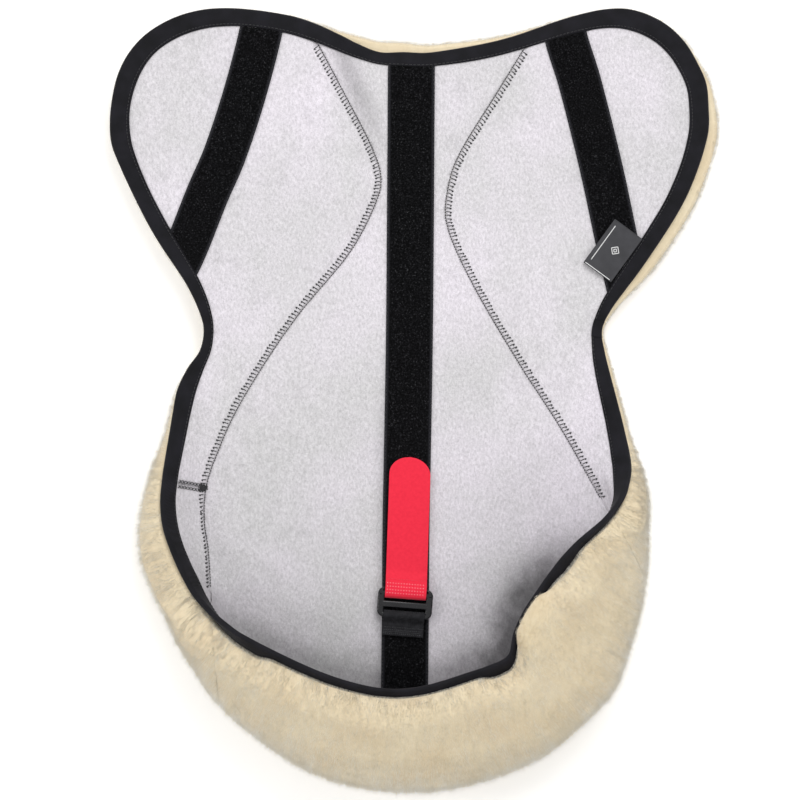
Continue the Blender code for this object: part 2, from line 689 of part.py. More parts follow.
def main():
    for item in list(bpy.data.objects):
        bpy.data.objects.remove(item)
    parts = bpy.data.collections.new("breastplate_pad")
    cutters = bpy.data.collections.new("cutters")
    for collection in (parts, cutters):
        bpy.context.scene.collection.children.link(collection)

    edges = rim_edges()
    add_panels(edges, parts, cutters)
    add_binding(edges, parts)
    add_seam_threads(edges, parts)
    add_centre_strip(edges, parts)
    add_side_strip("left_loop_strip", LEFT_LINE, edges, parts)
    add_side_strip("right_loop_strip", RIGHT_LINE, edges, parts)

    slide_pivot = empty_at("slide_pivot", (*PIVOT, BAR_HEIGHT), SLIDE_TURN, None, parts)
    tab_pivot = empty_at("tab_pivot", (0, UPPER_BAR_Y, 0), 0.0, slide_pivot, parts)
    label_pivot = empty_at("label_pivot", (*LABEL_FOOT, 0), LABEL_TURN, None, parts)
    bpy.context.view_layer.update()
    add_keeper(slide_pivot, parts)
    add_slide(slide_pivot, parts, cutters)
    add_tab(tab_pivot, parts, cutters)
    add_label(label_pivot, parts)


main()
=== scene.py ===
"""Looks of the lambskin liner pad of a breastplate: pelt, wool, tapes, stitching, slide, hook tab and label.

Every layer lies on the bent sheet that the CAD part is built on, sampled more finely here.
Lengths are in metres, +Z is up and +Y runs from the rolled lower edge to the two upper lobes.
"""
import math

import bmesh
import bpy
import numpy as np
from mathutils import Matrix, Vector
from mathutils.bvhtree import BVHTree
from mathutils.geometry import delaunay_2d_cdt


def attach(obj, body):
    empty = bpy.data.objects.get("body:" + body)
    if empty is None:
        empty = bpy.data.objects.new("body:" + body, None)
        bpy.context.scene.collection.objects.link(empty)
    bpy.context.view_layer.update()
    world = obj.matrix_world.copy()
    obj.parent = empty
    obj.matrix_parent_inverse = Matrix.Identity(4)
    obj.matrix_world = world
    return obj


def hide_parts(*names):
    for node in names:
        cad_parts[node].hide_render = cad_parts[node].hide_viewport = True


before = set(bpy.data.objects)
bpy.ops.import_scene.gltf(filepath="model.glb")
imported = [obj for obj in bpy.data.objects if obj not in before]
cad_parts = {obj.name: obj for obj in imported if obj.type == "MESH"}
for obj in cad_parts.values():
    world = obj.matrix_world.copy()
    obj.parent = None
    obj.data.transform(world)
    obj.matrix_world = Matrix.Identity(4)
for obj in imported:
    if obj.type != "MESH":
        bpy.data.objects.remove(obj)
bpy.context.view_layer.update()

MM = 0.001
GAP = 0.3 * MM

# The bent sheet, as in the CAD part
SUEDE_HEIGHT = 27.0 * MM            # suede side of the flat middle above the floor
SKIN = 2.0 * MM
WOOL_DEPTH = 32.0 * MM              # from the suede side to the wool's tips
BEND_LENGTH = 24.0 * MM             # radius of the fully rolled edge
FLAT_BEND = 8.0 * MM
CAD_STATIONS = 96
STATIONS = 768                      # fine stations round the rim

BINDING_LEG = 12.5 * MM
BINDING = 1.0 * MM
TAPE_ROOM = 14.3 * MM
STRIP = 1.8 * MM
CENTRE_STRIP_WIDTH = 37.5 * MM
SIDE_STRIP_WIDTH = 34.2 * MM

# Rim: x, y, angle turned (degrees), straight length beyond the bend, wool standing beyond the rim (mm)
RIM = [
    (-8, 278, 0, 22, 11), (-32, 279, 0, 22, 13), (-56, 291, 0, 22, 5), (-94, 306, 0, 22, 1),
    (-146, 313, 0, 22, 0.5), (-184, 308, 0, 22, 0.5), (-216, 290, 0, 22, 0.5), (-235, 262, 0, 22, 0.5),
    (-242, 224, 0, 22, 0.5), (-238, 197, 0, 22, 0.5), (-210, 138, 0, 22, 1), (-179, 89, 0, 22, 1),
    (-167, 56, 0, 22, 1), (-172, 36, 2, 22, 0), (-186, 14, 8, 22, 0), (-194, -30, 24, 22, 0),
    (-199, -77, 52, 22, 0), (-195, -107, 60, 22, 0), (-176, -149, 70, 22, -1), (-154, -171, 102, 26, -3),
    (-126, -189, 128, 38, -5), (-61, -218, 143, 47, -5), (-6, -227, 150, 48, -5), (55, -210, 150, 56, -5),
    (74, -201, 150, 56, -5), (78, -185, 150, 58, -5), (87, -165, 150, 60, -5), (112, -129, 142, 50, -5),
    (131, -109, 130, 42, -4), (151, -93, 113, 29, -3), (163, -79, 88, 23, -1), (172, -58, 48, 22, 0),
    (169, -28, 20, 22, 1), (154, 34, 4, 22, 4), (151, 57, 0, 22, 4), (160, 75, 0, 22, 6),
    (187, 112, 0, 22, 10), (217, 160, 0, 22, 10), (234, 206, 0, 22, 9), (236, 233, 0, 22, 7),
    (232, 259, 0, 22, 4), (210, 294, 0, 22, 2), (174, 312, 0, 22, 1), (133, 308, 0, 22, 1),
    (71, 288, 0, 22, 5), (16, 278, 0, 22, 9),
]

# Columns of a station: start of the bend, outward normal, angle, lengths, kink, the wool's reach and bulge
BASE, NORMAL, KINK = slice(0, 2), slice(2, 4), slice(7, 9)
TURN, BEND, LENGTH, FLUFF, BULGE = 4, 5, 6, 9, 10

# Where the wool stands over the tape, is clipped back or bulges: column, place, change, reach, blend (mm)
TRIMS = (
    (FLUFF, (88, -167), 9.0, 22, 8), (FLUFF, (-146, -178), -6.0, 38, 8), (FLUFF, (64, -205), -6.0, 12, 8),
    (FLUFF, (116, -126), -3.0, 12, 8), (BULGE, (-180, -140), 11.0, 45, 30), (BULGE, (-35, -225), 3.5, 55, 35),
)

# Seams between the panels, from the top edge down (mm)
LEFT_SEAM = [(-78, 288), (-55, 245), (-34, 204), (-26, 179), (-30, 158), (-51, 118), (-96, 63),
             (-137, 0), (-157, -43), (-166, -71), (-167, -98), (-164, -118), (-161, -151)]
LEFT_JUNCTION = 9
CROSS_SEAM_END = (-186, -67)
RIGHT_SEAM = [(89, 281), (67, 245), (38, 198), (28, 168), (28, 138), (49, 91), (86, 28),
              (120, -25), (150, -79)]
SEAM_GAP = 0.2 * MM

# Middle lines of the three loop strips (mm)
CENTRE_LINE = [(-1, 310), (-2, 150), (-3, 40), (-5.5, -100), (-6, -160), (-7, -260)]
LEFT_LINE = [(-119, 320), (-121, 298), (-134, 247), (-150, 198), (-165, 163), (-183, 118), (-200, 85)]
RIGHT_LINE = [(120, 320), (122, 292), (134, 252), (150, 188), (162, 132), (167, 110), (173, 85)]

# Slide, keeper and hook tab
SLIDE_TURN = math.radians(-4.4)
PIVOT = (-7.2 * MM, -172.2 * MM)
SLIDE_WIDTH = 44.0 * MM
SLIDE_LENGTH = 24.0 * MM
SIDE_BAR = 5.2 * MM
ROUND_BAR = 4.0 * MM
MIDDLE_BAR = 5.0 * MM
LOWER_WINDOW = 4.0 * MM
BAR_RECESS = 3.0 * MM
BAR_ROOM = 0.6 * MM
WEBBING = 1.2 * MM
WEBBING_WIDTH = 33.0 * MM
KEEPER_LENGTH = 16.0 * MM
TAB_LEAN = math.tan(math.radians(2.5))
TAB_LEAN_START = 6.0 * MM
TAB_LENGTH = 109.5 * MM
TAB_RETURN = 13.0 * MM
STRIP_TOP = SUEDE_HEIGHT + GAP + STRIP
BAR_HEIGHT = STRIP_TOP + GAP + WEBBING + BAR_ROOM + ROUND_BAR / 2
UPPER_BAR_Y = SLIDE_LENGTH - ROUND_BAR - BAR_RECESS

LABEL_FOOT = (169.3 * MM, 111.9 * MM)
LABEL_SIZE = (42.0 * MM, 25.5 * MM)
LABEL_TURN = math.radians(54.0)

# Camera straight above, with such a lens that the picture spans 0.64 m at the suede
CAMERA_AT = (-10.4 * MM, 0.0, 4.0)
CAMERA_LENS = 223.5

FIBRES = 270000
FIBRE_LENGTH = 5.5 * MM
FIBRE_SHADES = ("deep", "cream", "light")
FIBRES_IN_A_PIECE = 45000           # keeps each mesh under 200,000 faces
BASE_INSET = 1.9 * MM               # how far the wool's solid base stays below the fibres' tips
STITCH_PITCH = 3.2 * MM             # along the edge tape

ABOVE = 0.3                         # a height over the whole pad
FAR = 0.45                          # a distance beyond the whole pad
NEARLY_FLAT = 1e-4                  # angle below which the edge is not bent

WORLD_LIGHT = 0.77
LIGHTS = (                          # name, place, power, size
    ("overhead", (0.5, 1.3, 2.2), 26.0, 1.2),
    ("side", (-1.6, -0.2, 1.2), 5.0, 0.35),
    ("front", (0.5, -1.5, 1.3), 2.0, 0.25),
)


# ---- numbers

def smoothstep(value, low, high):
    f = np.clip((value - low) / (high - low), 0, 1)
    return f * f * (3 - 2 * f)


def noise(points, cell, seed=0):
    """Smooth noise from -1 to 1 whose features are about cell wide."""
    scaled = np.asarray(points, float) / cell
    base = np.floor(scaled).astype(np.int64)
    f = scaled - base
    f = f * f * (3 - 2 * f)
    total = np.zeros(scaled.shape[:-1])
    for corner in range(8):
        offset = np.array([corner & 1, corner >> 1 & 1, corner >> 2 & 1])
        key = (base + offset) * np.array([73856093, 19349663, 83492791])
        mixed = (key[..., 0] ^ key[..., 1] ^ key[..., 2]) + seed * 40503
        mixed = (mixed ^ (mixed >> 13)) * 1274126177 & 0x7FFFFFFF
        mixed = (mixed ^ (mixed >> 16)) * 69069 & 0x7FFFFFFF
        weight = np.prod(np.where(offset == 1, f, 1 - f), axis=-1)
        total += weight * (mixed / 0x7FFFFFFF * 2 - 1)
    return total


def spline(points, t, closed):
    """Points at t of a Catmull-Rom curve, whole numbers of t being the given points."""
    points, t = np.asarray(points, float), np.asarray(t, float)
    count, index = len(points), np.floor(t).astype(int)
    f = (t - index)[:, None]
    picked = []
    for k in (-1, 0, 1, 2):
        picked.append(points[(index + k) % count] if closed else points[np.clip(index + k, 0, count - 1)])
    a, b, c, d = picked
    square, cube = 2 * a - 5 * b + 4 * c - d, 3 * b - a - 3 * c + d
    return 0.5 * (2 * b + (c - a) * f + square * f ** 2 + cube * f ** 3)


def lengths(points):
    """Length along a polyline up to each of its points."""
    return np.concatenate([[0], np.cumsum(np.linalg.norm(np.diff(points, axis=0), axis=1))])


def read_off(goals, reach, rows):
    """The rows' columns at the given lengths, where reach is each row's own length."""
    return np.stack([np.interp(goals, reach, column) for column in rows.T], axis=1)


def unit(vectors):
    return vectors / np.maximum(np.linalg.norm(vectors, axis=-1), 1e-9)[..., None]


def even_samples(points, count, closed):
    """Points spaced evenly by length along the curve."""
    spans = len(points) if closed else len(points) - 1
    fine = spline(points, np.linspace(0, spans - (0 if closed else 1e-9), 4001), closed)
    reach = lengths(fine[:, :2])
    return read_off(reach[-1] * np.arange(count) / (count if closed else count - 1), reach, fine)


def relaxed(points, passes):
    for _ in range(passes):
        points = (np.roll(points, 1, 0) + 2 * points + np.roll(points, -1, 0)) / 4
    return points


def shifted(line, offset):
    """A plan line moved sideways, to its left when offset is positive."""
    line = np.asarray(line, float)
    along = np.gradient(line, axis=0)
    side = unit(np.stack([-along[:, 1], along[:, 0]], axis=1))
    return line + side * (offset if np.isscalar(offset) else np.asarray(offset)[:, None])


def inside(points, outline):
    """Which plan points lie inside a closed outline."""
    points, outline = np.asarray(points, float), np.asarray(outline, float)
    hit = np.zeros(len(points), bool)
    for p, q in zip(outline, np.roll(outline, -1, 0)):
        spans = (p[1] > points[:, 1]) != (q[1] > points[:, 1])
        if spans.any():
            x = p[0] + (q[0] - p[0]) * (points[:, 1] - p[1]) / (q[1] - p[1] + 1e-30)
            hit ^= spans & (points[:, 0] < x)
    return hit


def distance_to(points, line):
    """Plan distance from points to a polyline."""
    best = np.full(len(points), 9.0)
    for p, q in zip(line[:-1], line[1:]):
        along = q - p
        f = np.clip(((points - p) @ along) / (along @ along), 0, 1)
        best = np.minimum(best, np.linalg.norm(points - p - f[:, None] * along, axis=1))
    return best


def resampled(path, count):
    """A polyline's points at even lengths, any number of columns, by its first three."""
    reach = lengths(path[:, :3])
    return read_off(np.linspace(0, reach[-1], count), reach, path)


# ---- the bent sheet

def sheet_stations():
    """One row for each fine station: the CAD's stations, refined with a smooth curve."""
    samples = even_samples(RIM, CAD_STATIONS, True)
    rim = samples[:, :2] * MM
    smooth, course = relaxed(rim, 6), relaxed(rim, 16)
    along = unit(np.roll(course, -1, 0) - np.roll(course, 1, 0))
    normal = np.stack([along[:, 1], -along[:, 0]], axis=1)
    turn = np.radians(np.maximum(samples[:, 2], 0))
    bend = np.maximum(BEND_LENGTH * turn, FLAT_BEND)
    flap = samples[:, 3] * MM
    curled = turn > NEARLY_FLAT
    out = np.where(curled, bend / np.where(curled, turn, 1) * np.sin(turn), bend) + flap * np.cos(turn)
    rows = np.column_stack([smooth - normal * out[:, None], normal, turn, bend, bend + flap,
                            rim - smooth, samples[:, 4] * MM, np.zeros(CAD_STATIONS)])
    rows = spline(rows, np.arange(STATIONS) * CAD_STATIONS / STATIONS, True)
    rows[:, TURN] = np.maximum(rows[:, TURN], 0)
    fine_rim = spline(rim, np.arange(STATIONS) * CAD_STATIONS / STATIONS, True)
    for column, place, change, reach, blend in TRIMS:
        away = np.linalg.norm(fine_rim / MM - place, axis=1)
        rows[:, column] += change * MM * smoothstep(-away, -reach - blend, blend - reach)
    return rows


SHEET = sheet_stations()


def station(u):
    """Sheet rows at u, counted in fine stations round the rim."""
    low = np.floor(u).astype(int)
    f = (u - low)[..., None]
    return SHEET[low % STATIONS] * (1 - f) + SHEET[(low + 1) % STATIONS] * f


def on_sheet(u, s, depth):
    """Points s along the sheet from the start of the bend at u, depth below the suede side."""
    u, s, depth = np.broadcast_arrays(np.asarray(u, float), s, depth)
    row = station(u)
    turn, bend = row[..., TURN], row[..., BEND]
    bent = np.clip(s, 0, bend)
    angle = turn * bent / bend
    curled = turn > NEARLY_FLAT
    radius = bend / np.where(curled, turn, 1)
    sine, cosine = np.sin(angle), np.cos(angle)
    out = np.where(curled, radius * sine, bent) + (s - bent) * cosine + depth * sine
    up = np.where(curled, radius * (1 - cosine), 0) + (s - bent) * sine - depth * cosine
    share = np.maximum(s - bend, 0) / (row[..., LENGTH] - bend)
    plan = row[..., BASE] + row[..., NORMAL] * out[..., None] + row[..., KINK] * share[..., None]
    return np.concatenate([plan, (SUEDE_HEIGHT + up)[..., None]], axis=-1)


def strip_middle(y):
    """x of the centre strip's middle line."""
    return np.interp(y, [-0.26, 0.31], [-0.007, -0.001])


def top_fold(x, y, width, full):
    """The soft fold inside the top left seam, from 0 to 1; it has its full depth from y = full up."""
    return np.exp(-((x + 0.046 - 0.40 * (0.25 - y)) / width) ** 2 / 2) * smoothstep(y, 0.175, full)


def settled(points):
    """The pad's slow waves: it lies a little unevenly, except under the centre strip and on the floor."""
    points = np.array(points, float)
    x, y, z = points[..., 0], points[..., 1], points[..., 2]
    plan = points * [1, 1, 0]
    calm = smoothstep(np.abs(x - strip_middle(y)), 22 * MM, 60 * MM)
    wave = 1.1 * MM * noise(plan, 95 * MM, 3) + 0.5 * MM * noise(plan, 38 * MM, 4)
    dip = 4.2 * MM * top_fold(x, y, 7 * MM, 0.225)
    points[..., 2] = z + (wave * calm - dip) * smoothstep(z, 0, 22 * MM)
    return points


def around(step=1):
    return np.arange(0, STATIONS, step)


def rim_line(step, inset):
    """Plan line of the suede's rim, or of a line on the suede inset from it."""
    u = around(step)
    return on_sheet(u, SHEET[u, LENGTH] - inset, 0.0)[:, :2]


# ---- meshes

def mesh_of(name, points, faces):
    """Mesh from an array of points and arrays of faces of one size each."""
    mesh = bpy.data.meshes.new(name)
    faces = [np.asarray(group, np.int32) for group in faces if len(group)]
    sizes = np.concatenate([np.full(len(group), group.shape[1]) for group in faces])
    mesh.vertices.add(len(points))
    mesh.vertices.foreach_set("co", np.asarray(points, np.float32).ravel())
    mesh.loops.add(int(sizes.sum()))
    mesh.loops.foreach_set("vertex_index", np.concatenate([group.ravel() for group in faces]))
    mesh.polygons.add(len(sizes))
    mesh.polygons.foreach_set("loop_start", np.concatenate([[0], np.cumsum(sizes)[:-1]]).astype(np.int32))
    shade_smooth(mesh)
    mesh.update(calc_edges=True)
    return mesh


def link(name, mesh):
    item = bpy.data.objects.new(name, mesh)
    bpy.context.scene.collection.objects.link(item)
    return item


def coordinates(mesh):
    points = np.zeros(len(mesh.vertices) * 3, np.float32)
    mesh.vertices.foreach_get("co", points)
    return points.reshape(-1, 3).astype(float)


def set_coordinates(mesh, points):
    mesh.vertices.foreach_set("co", np.asarray(points, np.float32).ravel())
    mesh.update()


def evaluated(item):
    """The item with its modifiers applied."""
    mesh = bpy.data.meshes.new_from_object(item.evaluated_get(bpy.context.evaluated_depsgraph_get()))
    item.modifiers.clear()
    item.data = mesh
    return item


def outward(mesh):
    fix = bmesh.new()
    fix.from_mesh(mesh)
    bmesh.ops.recalc_face_normals(fix, faces=fix.faces)
    fix.to_mesh(mesh)
    fix.free()


def shade_smooth(mesh):
    mesh.polygons.foreach_set("use_smooth", np.ones(len(mesh.polygons), bool))


def finish_piece(item, material, body, slot, *nodes):
    item.data.materials.clear()
    item.data.materials.append(material)
    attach(item, body)
    if nodes:
        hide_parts(*nodes)
    return item


def piece(name, mesh, *given):
    """A mesh as a visible piece, given finish_piece's material, body, slot (not used) and nodes."""
    return finish_piece(link(name, mesh), *given)


def grid_faces(rows, columns, wrap_rows=False, wrap_columns=False):
    """Quads of a grid of points stored row by row."""
    r = np.arange(rows if wrap_rows else rows - 1)[:, None]
    c = np.arange(columns if wrap_columns else columns - 1)[None, :]
    r2, c2 = (r + 1) % rows, (c + 1) % columns
    return np.stack([(r * columns + c), (r * columns + c2), (r2 * columns + c2), (r2 * columns + c)],
                    axis=-1).reshape(-1, 4)


def ribbon_mesh(name, low, high):
    """Closed ribbon between a lower and an upper grid of points, rows along it and columns across."""
    rows, columns = low.shape[:2]
    rings = np.concatenate([low, high[:, ::-1]], axis=1)
    size = 2 * columns
    ring = grid_faces(rows, size, wrap_columns=True)
    j = np.arange(columns - 1)
    cap = np.stack([j, j + 1, size - 2 - j, size - 1 - j], axis=1)
    mesh = mesh_of(name, rings.reshape(-1, 3), [np.concatenate([ring, cap, cap + (rows - 1) * size])])
    outward(mesh)
    return mesh


# ---- panels of the pelt

def seam_lines():
    left = even_samples(np.array(LEFT_SEAM) * MM, 56, False)
    right = even_samples(np.array(RIGHT_SEAM) * MM, 44, False)
    junction = np.linalg.norm(left - np.array(LEFT_SEAM[LEFT_JUNCTION]) * MM, axis=1).argmin()
    return left, right, junction


def beyond(end, before, reach):
    along = np.asarray(end) - np.asarray(before)
    return end + along / np.linalg.norm(along) * reach


def panel_outlines(half=SEAM_GAP / 2):
    """Plan outlines of the four panels, parted by twice half and running on past the rim."""
    left, right, junction = seam_lines()
    left = np.vstack([beyond(left[0], left[1], 0.2), left, beyond(left[-1], left[-2], 0.3)])
    right = np.vstack([beyond(right[0], right[1], 0.2), right, beyond(right[-1], right[-2], 0.3)])
    junction += 1
    end = np.array(CROSS_SEAM_END) * MM
    cross = np.array([left[junction], end, beyond(end, left[junction], 0.3)])
    rise = np.array([0, half])
    upper = shifted(left[:junction + 1], -half)
    upper[-1] += rise
    upper = np.vstack([upper, cross[1:] + rise, [(-FAR, -0.05), (-FAR, FAR), (-0.15, FAR)]])
    lower = cross[::-1] - rise
    lower[-1] -= np.array([half, 0])
    lower = np.vstack([lower, shifted(left[junction:], -half)[1:], [(-FAR, -FAR)]])
    return {
        "left": upper,
        "centre": np.vstack([shifted(left, half), shifted(right, -half)[::-1]]),
        "right": np.vstack([shifted(right, half), [(FAR, -FAR), (FAR, FAR)]]),
        "lower_left": lower,
    }


def middle_points(spacing):
    """Triangles over the flat middle: its outline's stations, then points of an even grid inside it."""
    outline = SHEET[around(2), BASE]
    low, high = outline.min(0), outline.max(0)
    ys = np.arange(low[1], high[1], spacing * 0.866)
    rows = []
    for k, y in enumerate(ys):
        x = np.arange(low[0] + (k % 2) * spacing / 2, high[0], spacing)
        rows.append(np.stack([x, np.full_like(x, y)], axis=1))
    grid = np.concatenate(rows)
    grid = grid[inside(grid, outline)]
    grid = grid[distance_to(grid, np.vstack([outline, outline[:1]])) > spacing * 0.55]
    points = [Vector(p) for p in np.vstack([outline, grid])]
    made = delaunay_2d_cdt(points, [], [list(range(len(outline)))], 1, 1e-7)
    origin = [given[0] for given in made[3]]
    triangles = np.array([[origin[k] for k in face] for face in made[2] if len(face) == 3])
    return grid, triangles


GRID, GRID_TRIANGLES = middle_points(4 * MM)


def pelt_solid(name, path, floor=None):
    """Closed solid from rings (s, depth) round the rim, closed over the middle at the first and last ring."""
    u = around(2)
    rings = [on_sheet(u, s, depth) for s, depth in path]
    count, size = len(u), len(rings)
    points = np.stack(rings, axis=1).reshape(-1, 3)
    sides = grid_faces(count, size, wrap_rows=True)
    caps, middles = [], []
    for k, (_, depth) in ((0, path[0]), (size - 1, path[-1])):
        start = len(points) + len(GRID) * len(middles)
        middles.append(np.column_stack([GRID, np.full(len(GRID), SUEDE_HEIGHT - np.mean(depth))]))
        on_ring = GRID_TRIANGLES < count
        caps.append(np.where(on_ring, GRID_TRIANGLES * size + k, GRID_TRIANGLES - count + start))
    points = np.vstack([points] + middles)
    if floor is not None:
        points[:, 2] = np.maximum(points[:, 2], floor)
    mesh = mesh_of(name, points, [sides, np.concatenate(caps)])
    outward(mesh)
    return mesh


def prism(name, outline, low, high):
    """Upright solid over a plan outline."""
    shape = bmesh.new()
    ring = [shape.verts.new((x, y, low)) for x, y in outline]
    bottom = shape.faces.new(ring)
    grown = bmesh.ops.extrude_face_region(shape, geom=[bottom])
    for vertex in (v for v in grown["geom"] if isinstance(v, bmesh.types.BMVert)):
        vertex.co.z = high
    bmesh.ops.triangulate(shape, faces=[f for f in shape.faces if len(f.verts) > 4])
    bmesh.ops.recalc_face_normals(shape, faces=shape.faces)
    mesh = bpy.data.meshes.new(name)
    shape.to_mesh(mesh)
    shape.free()
    return link(name, mesh)


def cut_out(name, mesh, outline):
    """The part of a solid over a plan outline, as a new object."""
    item, cutter = link(name, mesh.copy()), prism(name + "_outline", outline, -0.05, 0.25)
    change = item.modifiers.new("cut", "BOOLEAN")
    change.operation, change.solver, change.object = "INTERSECT", "MANIFOLD", cutter
    evaluated(item)
    bpy.data.objects.remove(cutter)
    shade_smooth(item.data)
    return item


def suede_tree(offset=0.0):
    """Ray target for the plain sheet's suede side."""
    u = around(2)
    length, bend = SHEET[u, LENGTH], SHEET[u, BEND]
    rings = [on_sheet(u, bend * f, offset) for f in np.linspace(0, 1, 12)]
    rings += [on_sheet(u, bend + (length - bend) * f, offset) for f in np.linspace(0.1, 1, 10)]
    points = np.stack(rings, axis=1).reshape(-1, 3)
    count, size = len(u), len(rings)
    middle = np.column_stack([GRID, np.full(len(GRID), SUEDE_HEIGHT - offset)])
    caps = np.where(GRID_TRIANGLES < count, GRID_TRIANGLES * size, GRID_TRIANGLES - count + len(points))
    faces = [list(f) for f in grid_faces(count, size, wrap_rows=True)] + [list(f) for f in caps]
    return BVHTree.FromPolygons([Vector(p) for p in np.vstack([points, middle])], faces)


PLAIN_SUEDE = suede_tree()
FALL = Vector((0, 0, -1))
SUEDE_SIGN = 1.0 if PLAIN_SUEDE.ray_cast(Vector((0.1, 0.1, ABOVE)), FALL)[1].z > 0 else -1.0


def suede_relief(points):
    """How far the tanned side sinks below the plain sheet: seams pulled in, soft creases and a fine grain."""
    left, right, junction = seam_lines()
    cross = np.array([left[junction], np.array(CROSS_SEAM_END) * MM])
    plan = points[:, :2]
    seam = np.minimum.reduce([distance_to(plan, line) for line in (left, right, cross)])
    groove, dip = 0.9 * MM, 0.35 * MM
    sunk = groove * np.exp(-(seam / (1.3 * MM)) ** 2) + dip * np.exp(-(seam / (7 * MM)) ** 2)
    pull = 0.5 + 0.5 * noise(points, 7 * MM, 11)        # the stitches draw some places in more than others
    sunk += 0.22 * MM * pull * np.exp(-((seam - 5 * MM) / (4 * MM)) ** 2)
    stretched = points * [1.0, 0.45, 1.0]
    crease = 1 - np.abs(noise(stretched, 16 * MM, 12) + 0.4 * noise(stretched, 7 * MM, 13))
    patches = smoothstep(noise(points, 70 * MM, 14), -0.1, 0.7)
    sunk += 0.5 * MM * smoothstep(crease, 0.86, 1.0) * patches
    # rippled where it rolls up
    steep = smoothstep(points[:, 2], SUEDE_HEIGHT + 3 * MM, SUEDE_HEIGHT + 20 * MM)
    ripple = noise(points * [1.0, 0.5, 0.4], 6 * MM, 15)
    sunk += steep * 0.5 * MM * (1 + ripple)
    return sunk + 0.06 * MM * (1 + noise(points, 2.5 * MM, 16))


def make_skins(material):
    u = around(2)
    length, bend = SHEET[u, LENGTH], SHEET[u, BEND]
    run = [bend * f for f in np.linspace(0, 1, 14)]
    run += [bend + (length - 1 * MM - bend) * f for f in np.linspace(0, 1, 9)[1:]]
    path = [(s, 0.0) for s in run] + [(s, SKIN) for s in reversed(run)]
    solid = pelt_solid("pelt", path)
    for side, outline in panel_outlines().items():
        item = cut_out(f"{side}_suede", solid, outline)
        points = coordinates(item.data)
        found = [PLAIN_SUEDE.find_nearest(Vector(p)) for p in points]
        facing = np.array([hit[1] for hit in found]) * SUEDE_SIGN
        tanned = np.array([hit[3] for hit in found]) < 0.4 * SKIN
        points -= facing * (suede_relief(points) * tanned)[:, None]
        set_coordinates(item.data, settled(points))
        # painted shade: the suede is darkened where shadow falls, inside the rolled rim, beside the strip and
        # in the fold
        layer = item.data.attributes.new("painted_shade", "FLOAT", "POINT")
        layer.data.foreach_set("value", painted_shade(points).astype(np.float32))
        finish_piece(item, material, "pad", "suede", f"{side}_skin")


def painted_shade(points):
    """Painted shade on the suede, from 0 to 1: inside the rolled rim, beside the strip and in the fold, and a
    little towards the lower edge.
    """
    x, y = points[:, 0], points[:, 1]
    rim = rim_line(4, 0)
    near = distance_to(points[:, :2], rim) * inside(points[:, :2], rim)
    right = smoothstep(x, 0, 90 * MM)
    # painted shadow inside the rolled lower rim, wider and deeper towards the right
    shade = np.exp(-(near / ((13 + 9 * right) * MM)) ** 2) * smoothstep(-y, 90 * MM, 150 * MM)
    shade *= 0.45 + 0.55 * right
    # painted shadow along the left side of the centre strip
    beside = strip_middle(y) - CENTRE_STRIP_WIDTH / 2 - x
    shade += 0.30 * np.exp(-(beside / (5 * MM)) ** 2) * (beside > -3 * MM) * smoothstep(-y, -60 * MM, 60 * MM)
    # painted shade in the soft fold by the top left seam
    shade += 0.42 * top_fold(x, y, 6.5 * MM, 0.25)
    # a little darker towards the lower edge
    shade += 0.10 * smoothstep(-y, -20 * MM, 120 * MM)
    return np.clip(shade * (0.95 + 0.18 * noise(points, 5 * MM, 81)), 0, 1)


# ---- wool

def wool_tip(u, t):
    """Where the wool's tips are, (s, depth), at t from 0 at the rim's tape to 1 at the start of the bend."""
    row = station(u)
    length, bend = row[..., LENGTH], row[..., BEND]
    tip = length + row[..., FLUFF]
    clear = SKIN + BINDING + 2.2 * MM                   # over the tape's outer leg
    knots_s = [tip - 2.5 * MM, tip, tip - 0.5 * MM, tip - 4 * MM, tip - 11 * MM, bend, bend * 0.0]
    knots_d = [clear, 9 * MM, 17 * MM, 25 * MM, 30.5 * MM, WOOL_DEPTH, WOOL_DEPTH]
    places = [0, 0.1, 0.2, 0.3, 0.4, 0.6, 1.0]
    s, depth = np.zeros_like(t), np.zeros_like(t)
    for k in range(len(places) - 1):
        f = np.clip((t - places[k]) / (places[k + 1] - places[k]), 0, 1)
        here = (t >= places[k]) & (t <= places[k + 1])
        s = np.where(here, knots_s[k] * (1 - f) + knots_s[k + 1] * f, s)
        depth = np.where(here, knots_d[k] * (1 - f) + knots_d[k + 1] * f, depth)
    return s, depth + row[..., BULGE] * smoothstep(depth, 6 * MM, 24 * MM)


def wool_root(u, s, depth, reach):
    """The place reach below a tip, towards the strip of skin that its fibre grows from."""
    length = station(u)[..., LENGTH]
    foot = np.minimum(s, length - 6 * MM)
    ds, dd = s - foot, depth - 3 * MM
    size = np.maximum(np.hypot(ds, dd), 1e-6)
    share = np.minimum(reach / size, 0.92)
    return s - ds * share, depth - dd * share


